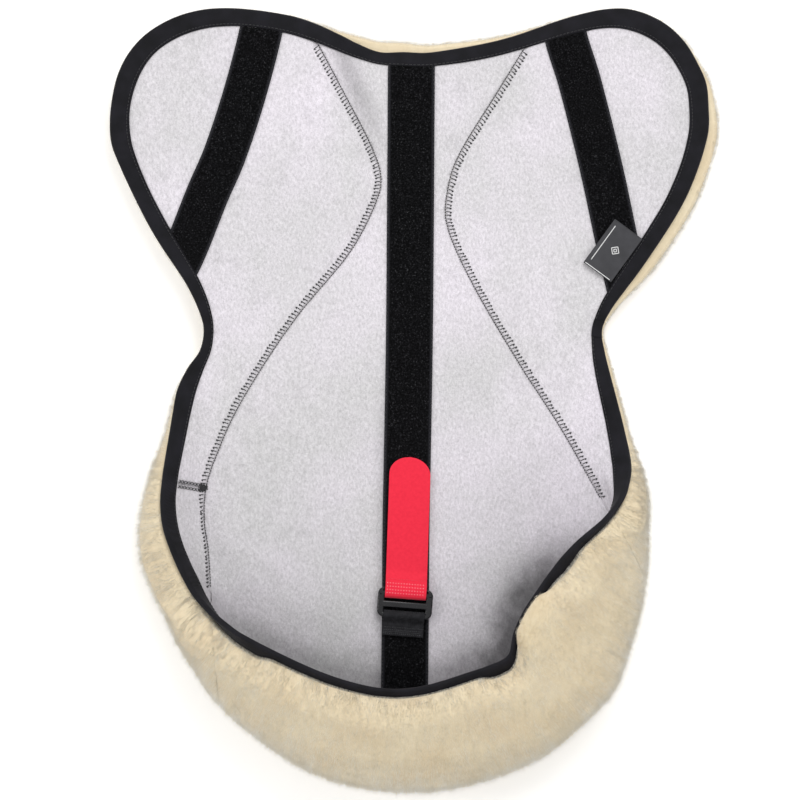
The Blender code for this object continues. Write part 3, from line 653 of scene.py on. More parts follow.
def make_fleece(material):
    """The wool's solid base under the fibres, one piece for each panel."""
    u = around(2)
    near, length, bend = SKIN + GAP, SHEET[u, LENGTH], SHEET[u, BEND]
    inner = [(bend * f, near) for f in np.linspace(0, 1, 8)]
    inner += [(length - TAPE_ROOM, near), (length - BINDING_LEG - 1.5 * MM, SKIN + BINDING + 1.4 * MM)]
    lip = np.maximum(length + SHEET[u, FLUFF] - 5 * MM, length - BINDING_LEG - 1.0 * MM)
    inner += [(lip, SKIN + BINDING + 1.4 * MM)]
    outer = []
    for t in np.concatenate([np.linspace(0.02, 0.6, 16), np.linspace(0.65, 1.0, 10)]):
        s, depth = wool_tip(u.astype(float), np.full(len(u), t))
        s, depth = wool_root(u.astype(float), s, depth, BASE_INSET)
        outer.append((s, depth if t < 1 else np.full(len(u), WOOL_DEPTH - BASE_INSET)))
    solid = pelt_solid("fleece", inner + outer, floor=0.4 * MM)
    for side, outline in panel_outlines(0.02 * MM).items():
        item = cut_out(f"{side}_wool", solid, outline)
        points = coordinates(item.data)
        away = np.array([PLAIN_SUEDE.find_nearest(Vector(p))[3] for p in points])
        normals = np.zeros(len(points) * 3, np.float32)
        item.data.vertices.foreach_get("normal", normals)
        lumps = 0.4 * MM * noise(points, 14 * MM, 21) + 0.15 * MM * noise(points, 4.5 * MM, 22)
        free = smoothstep(away, 12 * MM, 22 * MM) * smoothstep(points[:, 2], 1 * MM, 6 * MM)
        points += normals.reshape(-1, 3) * (lumps * free)[:, None]
        set_coordinates(item.data, settled(points))
        finish_piece(item, material, "pad", "wool", f"{side}_fleece")


def make_fibres(materials):
    """The pile: closed tapered fibres spread evenly over the wool's outside, sorted by panel and shade."""
    random = np.random.default_rng(7)
    lines, steps = 384, 40
    grid_u, grid_t = np.meshgrid(np.arange(lines + 1) * STATIONS / lines, np.linspace(0.0, 1, steps + 1),
                                 indexing="ij")
    corners = on_sheet(grid_u, *wool_tip(grid_u, grid_t))
    across = np.linalg.norm(np.diff(corners, axis=0), axis=2)
    down = np.linalg.norm(np.diff(corners, axis=1), axis=2)
    area = 0.25 * (across[:, :-1] + across[:, 1:]) * (down[:-1] + down[1:])
    high = corners[:-1, :-1, 2]
    area = area * smoothstep(high, -3 * MM, 3 * MM)
    chosen = random.choice(area.size, FIBRES, p=(area / area.sum()).ravel())
    u = (chosen // steps + random.random(FIBRES)) * STATIONS / lines
    t = (chosen % steps + random.random(FIBRES)) / steps
    s, depth = wool_tip(u, t)
    place = on_sheet(u, s, depth)
    rim_reach = np.interp(u, around(), lengths(on_sheet(around(), SHEET[:, LENGTH], 0)))
    combed = np.stack([rim_reach, (depth - s) * 0.22, s * 0], axis=1)      # locks are long down the pile
    clump = [noise(combed, 3.2 * MM, 31 + k) * 0.8 + noise(place, 13 * MM, 41 + k) * 0.3 for k in range(3)]
    stray = random.normal(0, 0.5, (3, FIBRES))
    tip_s = s + (clump[0] + stray[0]) * MM
    # about a quarter of the fibres stand out beyond the rest
    grow = np.where(random.random(FIBRES) < 0.28, random.random(FIBRES) * 4.2, 0)
    tip_depth = depth + (clump[1] * 0.5 + np.abs(stray[1]) * 0.8 + grow) * MM
    root = on_sheet(u, *wool_root(u, s, depth, FIBRE_LENGTH + random.random(FIBRES) * 1.5 * MM))
    tip = on_sheet(u, tip_s, tip_depth)
    tip += unit(tip - root) * 1.3 * MM
    along = unit(on_sheet(u + 0.5, s, depth) - on_sheet(u - 0.5, s, depth))
    tip += along * ((clump[2] + stray[2]) * MM)[:, None]
    root, tip = settled(root), settled(tip)
    root[:, 2] = np.maximum(root[:, 2], 0.6 * MM)
    tip[:, 2] = np.maximum(tip[:, 2], 0.3 * MM)
    axis = tip - root
    side = unit(np.cross(axis, along))
    third = unit(np.cross(axis, side))
    thick = (0.08 + 0.07 * random.random(FIBRES)) * MM
    ring = []
    for k in range(3):
        a = 2 * math.pi * k / 3
        ring.append(root + (side * math.cos(a) + third * math.sin(a)) * thick[:, None])
    points = np.stack(ring + [tip], axis=1)
    tint = noise(place, 30 * MM, 51) * 0.4 + noise(combed, 3.2 * MM, 52) * 0.5 + random.normal(0, 0.4, FIBRES)
    shade = np.digitize(tint, [-0.45, 0.35])
    faces = np.array([[0, 1, 3], [1, 2, 3], [2, 0, 3], [2, 1, 0]])
    outlines = panel_outlines()
    taken = np.zeros(FIBRES, bool)
    for side_name, outline in outlines.items():
        here = inside(place[:, :2], outline) & ~taken
        if side_name == "centre":
            others = [inside(place[:, :2], outlines[k]) for k in outlines if k != "centre"]
            here = ~np.logical_or.reduce(others)
        taken |= here
        for k, material in enumerate(materials):
            mine = points[here & (shade == k)]
            for part in range(math.ceil(len(mine) / FIBRES_IN_A_PIECE)):
                some = mine[part * FIBRES_IN_A_PIECE:(part + 1) * FIBRES_IN_A_PIECE]
                starts = np.arange(len(some))[:, None, None] * 4
                mesh = mesh_of("pile", some.reshape(-1, 3), [(faces + starts).reshape(-1, 3)])
                piece(f"{side_name}_pile_{FIBRE_SHADES[k]}_{part + 1}", mesh, material, "pad", "wool")


# ---- edge tape

def make_binding(material, thread):
    """The folded tape, softly rounded, with the small pull of each stitch; its lap; and its stitches."""
    u = around(1).astype(float)
    length = SHEET[:, LENGTH]
    place = on_sheet(u, length, 0.0)
    wander = 0.35 * MM * noise(place, 26 * MM, 61)      # the tape's inner edge isn't quite even
    mesh = mesh_of("folded_binding", *binding_rings(u, wander, 0.0, True))
    outward(mesh)
    piece("folded_binding", mesh, material, "pad", "binding_tape", "edge_binding")
    lap_place = (151 * MM, 57 * MM)                     # at the right waist
    lap = int(np.linalg.norm(place[:, :2] - lap_place, axis=1).argmin())
    span = np.arange(lap - 3, lap + 3.1, 0.5)
    mesh = mesh_of("binding_lap", *binding_rings(span, np.full(len(span), 0.2 * MM), 0.7 * MM, False))
    outward(mesh)
    piece("binding_lap", mesh, material, "pad", "binding_tape")
    reach = lengths(np.vstack([place, place[:1]]))
    count = int(reach[-1] / STITCH_PITCH)
    goals = np.arange(count) * reach[-1] / count
    places = np.interp(goals, reach, np.arange(STATIONS + 1))
    half = np.interp(goals + 1.15 * MM, reach, np.arange(STATIONS + 1)) - places
    row = station(places)
    line = row[:, LENGTH] - BINDING_LEG + 1.8 * MM
    up = -GAP - BINDING - 0.10 * MM
    starts, ends = on_sheet(places - half, line, up), on_sheet(places + half, line, up)
    above = on_sheet(places, line, up - 1 * MM) - on_sheet(places, line, up)
    make_stitches("binding_stitches", settled(starts), settled(ends), above, 0.30 * MM, thread, "pad",
                  "black_thread", "binding_thread")


def binding_rings(u, wander, extra, closed):
    """Points and faces of a U-shaped tape round the rim at stations u."""
    low, high = -GAP - BINDING - extra, -GAP - extra * 0.98
    under, over = SKIN + GAP + extra * 0.98, SKIN + GAP + BINDING + extra
    leg, tip = station(u)[:, LENGTH] - BINDING_LEG - wander, station(u)[:, LENGTH] + extra * 0.5
    middle = (low + over) / 2
    half = (over - low) / 2
    outer = [(leg, low + 0.35 * MM), (leg + 0.4 * MM, low), (leg + 1.0 * MM, low - 0.05 * MM)]
    outer += [(leg + 1.8 * MM, low + 0.16 * MM), (leg + 2.7 * MM, low - 0.05 * MM)]
    outer += [(leg + 6 * MM, low - 0.12 * MM), (tip - 2.5 * MM, low)]
    for k in range(7):
        a = math.pi * (k / 6 - 0.5)
        outer.append((tip - 1.4 * MM + 1.9 * MM * math.cos(a), middle + half * math.sin(a)))
    outer += [(tip - 5 * MM, over), (leg + 0.3 * MM, over), (leg, over - 0.3 * MM)]
    inner = [(leg + 0.1 * MM, under), (tip - 1.6 * MM, under), (tip - 1.6 * MM, high), (leg + 0.1 * MM, high)]
    rings = [settled(on_sheet(u, s, np.full(len(u), depth))) for s, depth in outer + inner]
    points = np.stack(rings, axis=1)
    size = len(rings)
    faces = [grid_faces(len(u), size, wrap_rows=closed, wrap_columns=True)]
    if not closed:
        faces.append(np.array([np.arange(size), (len(u) - 1) * size + np.arange(size)[::-1]]))
    return points.reshape(-1, 3), faces


# ---- stitches

def make_stitches(name, starts, ends, ups, radius, material, body, slot, *nodes):
    """Short arched threads, closed at both ends, all in one piece."""
    sides = 6
    places = np.array([0.0, 0.16, 0.5, 0.84, 1.0])
    widths = np.array([0.45, 1.0, 1.08, 1.0, 0.45])     # both in thread radii
    lifts = np.array([-0.9, 0.1, 0.45, 0.1, -0.9])
    along = ends - starts
    ahead = unit(along)
    side = unit(np.cross(ahead, unit(np.asarray(ups, float))))
    above = np.cross(side, ahead)
    rings = []
    for place, width, lift in zip(places, widths, lifts):
        middle = starts + along * place + above * lift * radius
        for j in range(sides):
            a = 2 * math.pi * j / sides
            rings.append(middle + (side * math.cos(a) + above * math.sin(a)) * radius * width)
    points = np.stack(rings, axis=1)
    ring = len(places) * sides
    quads = grid_faces(len(places), sides, wrap_columns=True)
    ends_faces = np.array([np.arange(sides), ring - sides + np.arange(sides)[::-1]])
    offsets = np.arange(len(starts))[:, None, None] * ring
    mesh = mesh_of(name, points.reshape(-1, 3), [(quads + offsets).reshape(-1, 4),
                                                 (ends_faces + offsets).reshape(-1, sides)])
    outward(mesh)
    piece(name, mesh, material, body, slot, *nodes)


def dropped(plan, lift):
    """Plan points set down on the suede, lift above it, and the directions out of it."""
    hits = [PLAIN_SUEDE.ray_cast(Vector((x, y, ABOVE)), FALL)[:2] for x, y in plan]
    places, ups = np.array([hit[0] for hit in hits]), np.array([hit[1] for hit in hits])
    ups *= np.where(ups[:, 2] < 0, -1, 1)[:, None]
    return settled(places + ups * (lift - 0.6 * suede_relief(places))[:, None]), ups


def stitched_line(line, pitch):
    """Places along a plan line at an even pitch, with the direction along it and to its left."""
    line = np.asarray(line, float)
    reach = lengths(line)
    goals = np.arange(0.5 * pitch, reach[-1] - 0.4 * pitch, pitch)
    place = read_off(goals, reach, line)
    along = unit(read_off(goals + 0.5 * MM, reach, line) - place)
    return place, along, np.stack([-along[:, 1], along[:, 0]], axis=1)


def make_seam_stitches(thread):
    """Flat seams: a running thread on the centre panel's side, and slanted stitches over the outer panel."""
    left, right, junction = seam_lines()
    inner = rim_line(4, BINDING_LEG + 0.4 * MM)
    random = np.random.default_rng(11)
    for name, line, outer in (("left_seam", left, -1), ("right_seam", right, 1)):
        fine = even_samples(line, 400, False)
        fine = fine[inside(fine, inner)]
        starts, ends, ups = [], [], []

        def lay(a, b, lift=0.35 * MM):
            placed, out = dropped(np.vstack([a, b]), lift)
            starts.append(placed[:len(a)])
            ends.append(placed[len(a):])
            ups.append(out[:len(a)] + out[len(a):])

        place, along, side = stitched_line(fine, 2.2 * MM)
        side = side * outer
        line_of_thread = place - side * 0.3 * MM
        lay(line_of_thread - along * 0.85 * MM, line_of_thread + along * 0.85 * MM, 0.3 * MM)
        place, along, side = stitched_line(fine, 3.0 * MM)
        side = side * outer
        low = smoothstep(place[:, 1], -0.10 if outer < 0 else -0.09, -0.06)
        reach = (4.9 + random.normal(0, 0.35, len(place))) * (0.55 + 0.45 * low)
        slant = 0.6 + random.normal(0, 0.25, len(place))
        foot = place + side * 0.5 * MM
        lay(foot, place + (side * reach[:, None] + along * slant[:, None]) * MM, 0.25 * MM)
        hook = place + (side * reach[:, None] * 0.97 + along * (slant + 0.3)[:, None]) * MM
        back = side * (1.3 + 0.5 * random.random((len(place), 1))) * MM
        lay(hook, hook - back + along * 0.5 * MM, 0.25 * MM)
        make_stitches(f"{name}_stitches", np.vstack(starts), np.vstack(ends), np.vstack(ups), 0.31 * MM,
                      thread, "pad", "black_thread", f"{name}_thread")
    make_cross_stitches(left[junction], thread)


def make_cross_stitches(junction, thread):
    """Two dense rows of crossed stitches along the cross seam, and the knot where the seams meet."""
    random = np.random.default_rng(12)
    end = np.array(CROSS_SEAM_END) * MM
    line = np.stack([junction + (end - junction) * f for f in np.linspace(0.06, 1.3, 50)])
    inner = rim_line(4, BINDING_LEG + 0.4 * MM)
    line = line[inside(line, inner)]
    starts, ends = [], []
    for shift in (-2.0 * MM, 2.0 * MM):
        place, along, side = stitched_line(shifted(line, shift), 2.5 * MM)
        for turn in (-1, 1):
            starts.append(place - side * 1.3 * MM - along * turn * 1.1 * MM)
            ends.append(place + side * 1.3 * MM + along * turn * 1.1 * MM)
    for _ in range(26):
        a = random.random() * math.pi
        middle = junction + np.array([-1.2 * MM, 0.5 * MM]) + random.normal(0, 1.3 * MM, 2)
        half = np.array([math.cos(a), math.sin(a)]) * (1.6 + random.random()) * MM
        starts.append((middle - half)[None])
        ends.append((middle + half)[None])
    starts, ends = np.vstack(starts), np.vstack(ends)
    placed, ups = dropped(np.vstack([starts, ends]), 0.4 * MM)
    count = len(starts)
    lift = ups[:count] * (random.random((count, 1)) * 0.35 * MM)
    make_stitches("cross_seam_stitches", placed[:count] + lift, placed[count:] + lift, ups[:count], 0.32 * MM,
                  thread, "pad", "black_thread", "cross_seam_thread")


# ---- loop strips

def strip_columns(line, width, count):
    middle = even_samples(np.array(line) * MM, 300, False)
    offsets = width * (0.5 - np.arange(count) / (count - 1))
    return [shifted(middle, offset) for offset in offsets], offsets


def side_strip_paths(line, width, count):
    """The suede's points and directions under each column of a strip that crosses a lobe flat."""
    inner = rim_line(2, BINDING_LEG - 0.2 * MM)
    columns, offsets = strip_columns(line, width, count)
    paths = []
    for column in columns:
        kept = even_samples(column, 1600, False)
        kept = kept[inside(kept, inner)]
        flat = np.zeros((len(kept), 6))
        flat[:, :2], flat[:, 2], flat[:, 5] = kept, SUEDE_HEIGHT, 1
        paths.append(flat)
    return paths, offsets


def centre_strip_paths(line, width, count):
    """The same for the middle strip, which goes on up the rolled edge."""
    paths, offsets = side_strip_paths(line, width, count)
    low = np.where(SHEET[:, 1] < -0.1)[0]
    low = low[np.argsort(SHEET[low, 0])]
    low = low[(SHEET[low, 0] > -0.1) & (SHEET[low, 0] < 0.08)]
    made = []
    for path in paths:
        x_end = path[np.abs(path[:, 1] + 0.235).argmin(), 0]
        u = np.interp(x_end, SHEET[low, 0], low)
        row = station(np.array([u]))[0]
        flat = path[path[:, 1] > row[1] + 1 * MM]
        s = np.linspace(0, row[LENGTH] - BINDING_LEG + 0.2 * MM, 90)
        rolled = on_sheet(np.full(90, u), s, 0.0)
        out = on_sheet(np.full(90, u), s, -1.0 * MM) - rolled
        made.append(np.vstack([flat, np.hstack([rolled, out / (1 * MM)])]))
    return made, offsets


def make_strip(name, paths, offsets, material, node):
    """Loop tape: woven selvedges and a raised pile of tiny loops between them."""
    length = np.linalg.norm(np.diff(paths[0][:, :3], axis=0), axis=1).sum()
    rows = int(length / (1.1 * MM))
    grid = np.stack([resampled(path, rows) for path in paths], axis=1)
    suede, out = grid[..., :3], grid[..., 3:]
    out = unit(out)
    half = np.abs(offsets).max()
    pile = smoothstep(half - np.abs(offsets), 1.5 * MM, 2.6 * MM)[None, :]
    fuzz = 0.16 * MM * noise(suede, 1.9 * MM, 71) + 0.12 * MM * noise(suede, 5 * MM, 72)
    height = 0.95 * MM + pile * (0.75 * MM + fuzz)
    low, high = suede + out * GAP, suede + out * (GAP + height)[..., None]
    low[:, 0], low[:, -1] = suede[:, 0] + out[:, 0] * GAP, suede[:, -1] + out[:, -1] * GAP
    mesh = ribbon_mesh(name, settled(low), settled(high))
    woven = np.concatenate([1 - pile[0], 1 - pile[0, ::-1]])
    layer = mesh.attributes.new("selvedge", "FLOAT", "POINT")
    layer.data.foreach_set("value", np.tile(woven, len(suede)).astype(np.float32))
    piece(name, mesh, material, "pad", "loop_tape", node)
    return suede, out


def make_strip_stitches(name, suede, out, column, thread):
    """A running stitch down one selvedge of a strip."""
    line = suede[:, column] + out[:, column] * (GAP + 1.0 * MM)
    reach = lengths(line)
    goals = np.arange(2 * MM, reach[-1] - 2 * MM, 3.0 * MM)
    at = [read_off(goals + d, reach, line) for d in (-1.1 * MM, 1.1 * MM)]
    ups = read_off(goals, reach, out[:, column])
    make_stitches(name, settled(at[0]), settled(at[1]), ups, 0.24 * MM, thread, "pad", "black_thread")


def make_strips(material, thread):
    strips = (
        ("centre_loop_tape", centre_strip_paths(CENTRE_LINE, CENTRE_STRIP_WIDTH, 41), "centre_loop_strip"),
        ("left_loop_tape", side_strip_paths(LEFT_LINE, SIDE_STRIP_WIDTH, 37), "left_loop_strip"),
        ("right_loop_tape", side_strip_paths(RIGHT_LINE, SIDE_STRIP_WIDTH, 37), "right_loop_strip"),
    )
    for name, (paths, offsets), node in strips:
        suede, out = make_strip(name, paths, offsets, material, node)
        for side, column in (("left", -2), ("right", 1)):
            make_strip_stitches(f"{name}_{side}_stitches", suede, out, column, thread)


# ---- tapes on the slide

SLIDE_FRAME = Matrix.Translation((*PIVOT, BAR_HEIGHT)) @ Matrix.Rotation(SLIDE_TURN, 4, "Z")
TAB_FRAME = SLIDE_FRAME @ Matrix.Translation((0, UPPER_BAR_Y, 0))


def placed(points, matrix):
    """Local points set in the row frame."""
    matrix = np.array(matrix)
    return points @ matrix[:3, :3].T + matrix[:3, 3]


def smooth_path(knots, step):
    """Even points along a smooth curve through (y, z) knots."""
    knots = np.array(knots)
    fine = spline(knots, np.linspace(0, len(knots) - 1 - 1e-9, 600), False)
    reach = lengths(fine)
    goals = np.linspace(0, reach[-1], max(int(reach[-1] / step), 8))
    return read_off(goals, reach, fine), goals


def tape_grids(path, across, thickness, relief):
    """Lower and upper grids of a tape along a (y, z) path; across is (rows, columns) of x."""
    along = unit(np.gradient(path, axis=0))
    normal = np.stack([-along[:, 1], along[:, 0]], axis=1)
    grids = []
    for sign in (-0.5, 0.5):
        offset = normal[:, None, :] * (sign * (thickness + 2 * relief))[..., None]
        grids.append(np.stack([across, path[:, None, 0] + offset[..., 0], path[:, None, 1] + offset[..., 1]],
                              axis=-1))
    return grids


def arc(centre_y, centre_z, radius, start, end, steps):
    a = np.radians(np.linspace(start, end, steps + 1))
    return list(zip(centre_y + radius * np.cos(a), centre_z + radius * np.sin(a)))


def make_keeper(material, thread, pale):
    """Ribbed webbing folded round the lower bar, sewn down through both legs."""
    wrap = ROUND_BAR / 2 + BAR_ROOM + WEBBING / 2
    low = -wrap
    high = low + WEBBING + GAP
    knots = [(-KEEPER_LENGTH, low), (-12 * MM, low), (-8 * MM, low), (-4 * MM, low)]
    knots += arc(0, 0, wrap, -90, 135, 9)
    knots += [(-4.6 * MM, high + 1.5 * MM), (-6.5 * MM, high + 0.25 * MM), (-8.5 * MM, high)]
    knots += [(-12 * MM, high), (-KEEPER_LENGTH - 0.6 * MM, high)]
    path, reach = smooth_path(knots, 0.5 * MM)
    x = np.linspace(-0.5, 0.5, 89) * WEBBING_WIDTH
    across = np.repeat(x[None, :], len(path), axis=0)
    edge = smoothstep(WEBBING_WIDTH / 2 - np.abs(x), 0, 0.8 * MM)
    ribs = 0.20 * MM * np.cos(2 * math.pi * x / (1.55 * MM)) * edge - 0.25 * MM * (1 - edge)
    weave = 0.03 * MM * np.cos(2 * math.pi * reach / (1.1 * MM))
    relief = (ribs[None, :] + weave[:, None]) - 0.13 * MM
    low_grid, high_grid = tape_grids(path, across, WEBBING, relief)
    mesh = ribbon_mesh("keeper_webbing", placed(low_grid, SLIDE_FRAME), placed(high_grid, SLIDE_FRAME))
    piece("keeper_webbing", mesh, material, "pad", "black_webbing", "strap_keeper")
    top = high + WEBBING / 2 + 0.1 * MM
    sewn = (("keeper_stitches", (-10.0,), 2.0, (1.5, 0, 0), thread, ("keeper_thread",)),
            ("keeper_ties", (-12.6, -14.0, -15.4), 1.6, (0, 0.8, 0), pale, ()))
    for name, lines, pitch, reach, colour, nodes in sewn:
        xs = np.arange(-WEBBING_WIDTH / 2 + 1.5 * MM, WEBBING_WIDTH / 2 - 1.4 * MM, pitch * MM)
        starts = np.vstack([np.stack([xs, xs * 0 + y * MM, xs * 0 + top], axis=1) for y in lines])
        ends = starts + np.array(reach) * MM
        ups = np.tile([0, 0, 1.0], (len(starts), 1))
        make_stitches(name, placed(starts, SLIDE_FRAME), placed(ends, SLIDE_FRAME), ups, 0.26 * MM, colour,
                      "pad", "black_thread", *nodes)


def slab(name, width, length, height, corner, segments):
    shape = bmesh.new()
    bmesh.ops.create_cube(shape, size=1.0)
    bmesh.ops.scale(shape, vec=(width, length, height), verts=shape.verts)
    if corner:
        upright = [e for e in shape.edges if abs(e.verts[0].co.z - e.verts[1].co.z) > height / 2]
        bmesh.ops.bevel(shape, geom=upright, offset=corner, segments=segments, affect="EDGES", profile=0.5)
    mesh = bpy.data.meshes.new(name)
    shape.to_mesh(mesh)
    shape.free()
    return mesh


def make_slide(material):
    """The moulded slide, with fuller roundings than the CAD solid."""
    item = link("moulded_slide", slab("moulded_slide", SLIDE_WIDTH, SLIDE_LENGTH, ROUND_BAR, 5.5 * MM, 10))
    item.matrix_world = SLIDE_FRAME @ Matrix.Translation((0, (SLIDE_LENGTH - ROUND_BAR) / 2, 0))
    opening = SLIDE_WIDTH - 2 * SIDE_BAR
    lower = ROUND_BAR / 2
    upper = lower + LOWER_WINDOW + MIDDLE_BAR
    recess = UPPER_BAR_Y + ROUND_BAR / 2
    lengths = (LOWER_WINDOW, UPPER_BAR_Y - ROUND_BAR / 2 - upper, 3 * BAR_RECESS)
    cutters = []
    for start, length in zip((lower, upper, recess), lengths):
        cutter = link("window", slab("window", opening, length, 3 * ROUND_BAR, 0, 0))
        cutter.matrix_world = SLIDE_FRAME @ Matrix.Translation((0, start + length / 2, 0))
        change = item.modifiers.new("window", "BOOLEAN")
        change.operation, change.solver, change.object = "DIFFERENCE", "EXACT", cutter
        cutters.append(cutter)
    item.modifiers.new("flat_faces", "TRIANGULATE").min_vertices = 5
    bevel = item.modifiers.new("rounded", "BEVEL")
    bevel.width, bevel.segments, bevel.use_clamp_overlap = 1.3 * MM, 5, False
    bevel.limit_method, bevel.angle_limit = "ANGLE", math.radians(50)
    bpy.context.view_layer.update()
    evaluated(item)
    for cutter in cutters:
        bpy.data.objects.remove(cutter)
    shade_smooth(item.data)
    item.data.set_sharp_from_angle(angle=math.radians(40))
    finish_piece(item, material, "slide", "black_plastic", "slide_buckle")


def tab_outline(y):
    """Half width of the tab at y from the upper bar."""
    radius, squat = WEBBING_WIDTH / 2, 0.85             # the tip is a slightly flattened half round
    rise = np.clip((y - (TAB_LENGTH - squat * radius)) / (squat * radius), 0, 1)
    return radius * np.sqrt(np.maximum(1 - rise ** 2, 0.0016))


def make_tab(material, thread, pale, hooks):
    """Hook tape looped over the upper bar: a finely woven back above, hooks below."""
    wrap = ROUND_BAR / 2 + BAR_ROOM + WEBBING / 2
    rest = -BAR_HEIGHT + STRIP_TOP + GAP + WEBBING / 2
    top = rest + WEBBING + GAP
    knots = [(TAB_RETURN, rest), (9 * MM, rest), (4 * MM, rest)] + arc(0, 0, wrap, 270, 90, 10)
    knots += [(3 * MM, wrap - 0.1 * MM), (6 * MM, wrap - 1.4 * MM), (9.5 * MM, top + 1.3 * MM)]
    knots += [(TAB_RETURN + 0.5 * MM, top + 0.2 * MM), (TAB_RETURN + 5 * MM, rest + 0.2 * MM)]
    knots += [(TAB_RETURN + 9 * MM, rest), (30 * MM, rest), (50 * MM, rest), (70 * MM, rest), (90 * MM, rest)]
    knots += [(TAB_LENGTH - 8 * MM, rest), (TAB_LENGTH, rest)]
    path, reach = smooth_path(knots, 0.55 * MM)
    over = reach > reach[-1] * 0.4
    half = np.where(over, tab_outline(path[:, 0]), WEBBING_WIDTH / 2)
    share = np.linspace(-1, 1, 65)
    across = half[:, None] * share[None, :]
    across = across - TAB_LEAN * np.maximum(path[:, 0] - TAB_LEAN_START, 0)[:, None]
    picks = np.cos(2 * math.pi * reach / (1.3 * MM))[:, None]
    weave = 0.035 * MM * np.cos(2 * math.pi * across / (1.03 * MM)) * picks
    edge = 0.12 * MM * (1 - smoothstep(1 - np.abs(share), 0, 0.05))[None, :]
    low_grid, high_grid = tape_grids(path, across, WEBBING, weave - edge - 0.04 * MM)
    mesh = ribbon_mesh("red_hook_tape", placed(low_grid, TAB_FRAME), placed(high_grid, TAB_FRAME))
    piece("red_hook_tape", mesh, material, "tab", "red_hook_tape", "hook_tab")
    make_tab_stitches(path, thread, pale)
    make_hooks(rest, hooks)


def make_tab_stitches(path, thread, pale):
    """The stitching through the loop's two legs: a red line, and three rows of short pale ties."""
    upper = path[len(path) // 8:]
    upper = upper[upper[:, 0].argmin():]
    slope = np.gradient(upper[:, 1]) / np.maximum(np.abs(np.gradient(upper[:, 0])), 1e-9)

    def on_tab(x, y):
        z = np.interp(y, upper[:, 0], upper[:, 1]) + WEBBING / 2 + 0.02 * MM
        return np.stack([x - TAB_LEAN * np.maximum(y - TAB_LEAN_START, 0), y, z], axis=1)

    def ups_at(y):
        rise = np.interp(y, upper[:, 0], slope)
        ups = np.stack([np.zeros_like(y), -rise, np.ones_like(y)], axis=1)
        return placed(ups, TAB_FRAME.to_3x3().to_4x4())

    xs = np.arange(-WEBBING_WIDTH / 2 + 2 * MM, WEBBING_WIDTH / 2 - 2.4 * MM, 2.0 * MM)
    y = np.full_like(xs, 11.6 * MM)
    starts, ends = placed(on_tab(xs, y), TAB_FRAME), placed(on_tab(xs + 1.5 * MM, y), TAB_FRAME)
    make_stitches("tab_stitches", starts, ends, ups_at(y), 0.24 * MM, thread, "tab", "red_thread",
                  "tab_thread")
    starts, ends, ups = [], [], []
    for row in (0.0, 2.6 * MM, 5.2 * MM, 7.8 * MM):
        xs = np.arange(-WEBBING_WIDTH / 2 + 1.6 * MM, WEBBING_WIDTH / 2 - 1.0 * MM, 2.2 * MM)
        y = np.full_like(xs, row)
        starts.append(on_tab(xs, y))
        ends.append(on_tab(xs, y + 1.0 * MM))
        ups.append(ups_at(y + 0.5 * MM))
    make_stitches("tab_ties", placed(np.vstack(starts), TAB_FRAME), placed(np.vstack(ends), TAB_FRAME),
                  np.vstack(ups), 0.30 * MM, pale, "tab", "red_thread")


def make_hooks(rest, material):
    """Rows of small bent hooks under the tab, in the loops of the strip."""
    pitch = 1.5 * MM
    rows = np.arange(24 * MM, TAB_LENGTH - 3 * MM, pitch)
    places = []
    for k, y in enumerate(rows):
        half = float(tab_outline(np.array([y]))[0]) - 1.8 * MM
        x = np.arange(-half + (k % 2) * pitch / 2, half, pitch)
        places.append(np.stack([x - TAB_LEAN * (y - TAB_LEAN_START), np.full_like(x, y)], axis=1))
    places = np.concatenate(places)
    count = len(places)
    under = rest - WEBBING / 2 + 0.1 * MM
    # forward, up and radius along one hook (mm)
    shape = [(0.0, 0.0, 0.22), (0.0, -0.45, 0.16), (0.22, -0.72, 0.14), (0.45, -0.62, 0.12)]
    rings = []
    for dy, dz, radius in shape:
        for j in range(4):
            a = math.pi / 4 + math.pi / 2 * j
            across, ahead = radius * MM * math.cos(a), radius * MM * math.sin(a)
            height = under + dz * MM + ahead * (dy > 0.1)
            rings.append(np.stack([places[:, 0] + across, places[:, 1] + dy * MM + ahead * 0.8,
                                   np.full(count, height)], axis=1))
    points = np.stack(rings, axis=1)
    faces = grid_faces(len(shape), 4, wrap_columns=True)
    faces = np.vstack([faces, [[0, 1, 2, 3], [15, 14, 13, 12]]])
    offsets = np.arange(count)[:, None, None] * 16
    mesh = mesh_of("tab_hooks", placed(points.reshape(-1, 3), TAB_FRAME), [(faces + offsets).reshape(-1, 4)])
    outward(mesh)
    piece("tab_hooks", mesh, material, "tab", "red_hook_tape")


# ---- label

LABEL_FRAME = Matrix.Translation((*LABEL_FOOT, 0)) @ Matrix.Rotation(LABEL_TURN, 4, "Z")


def label_lift(x, y):
    """How far the label stands off the strip: it bows a little between its foot and its fold."""
    width, reach = LABEL_SIZE
    f = np.clip(y / reach, 0, 1.1)
    corner = smoothstep(x / width + 0.5, 0.3, 1.0)
    return 1.1 * MM * np.sin(math.pi * np.minimum(f, 1) * 0.7) + 0.9 * MM * corner * f ** 2


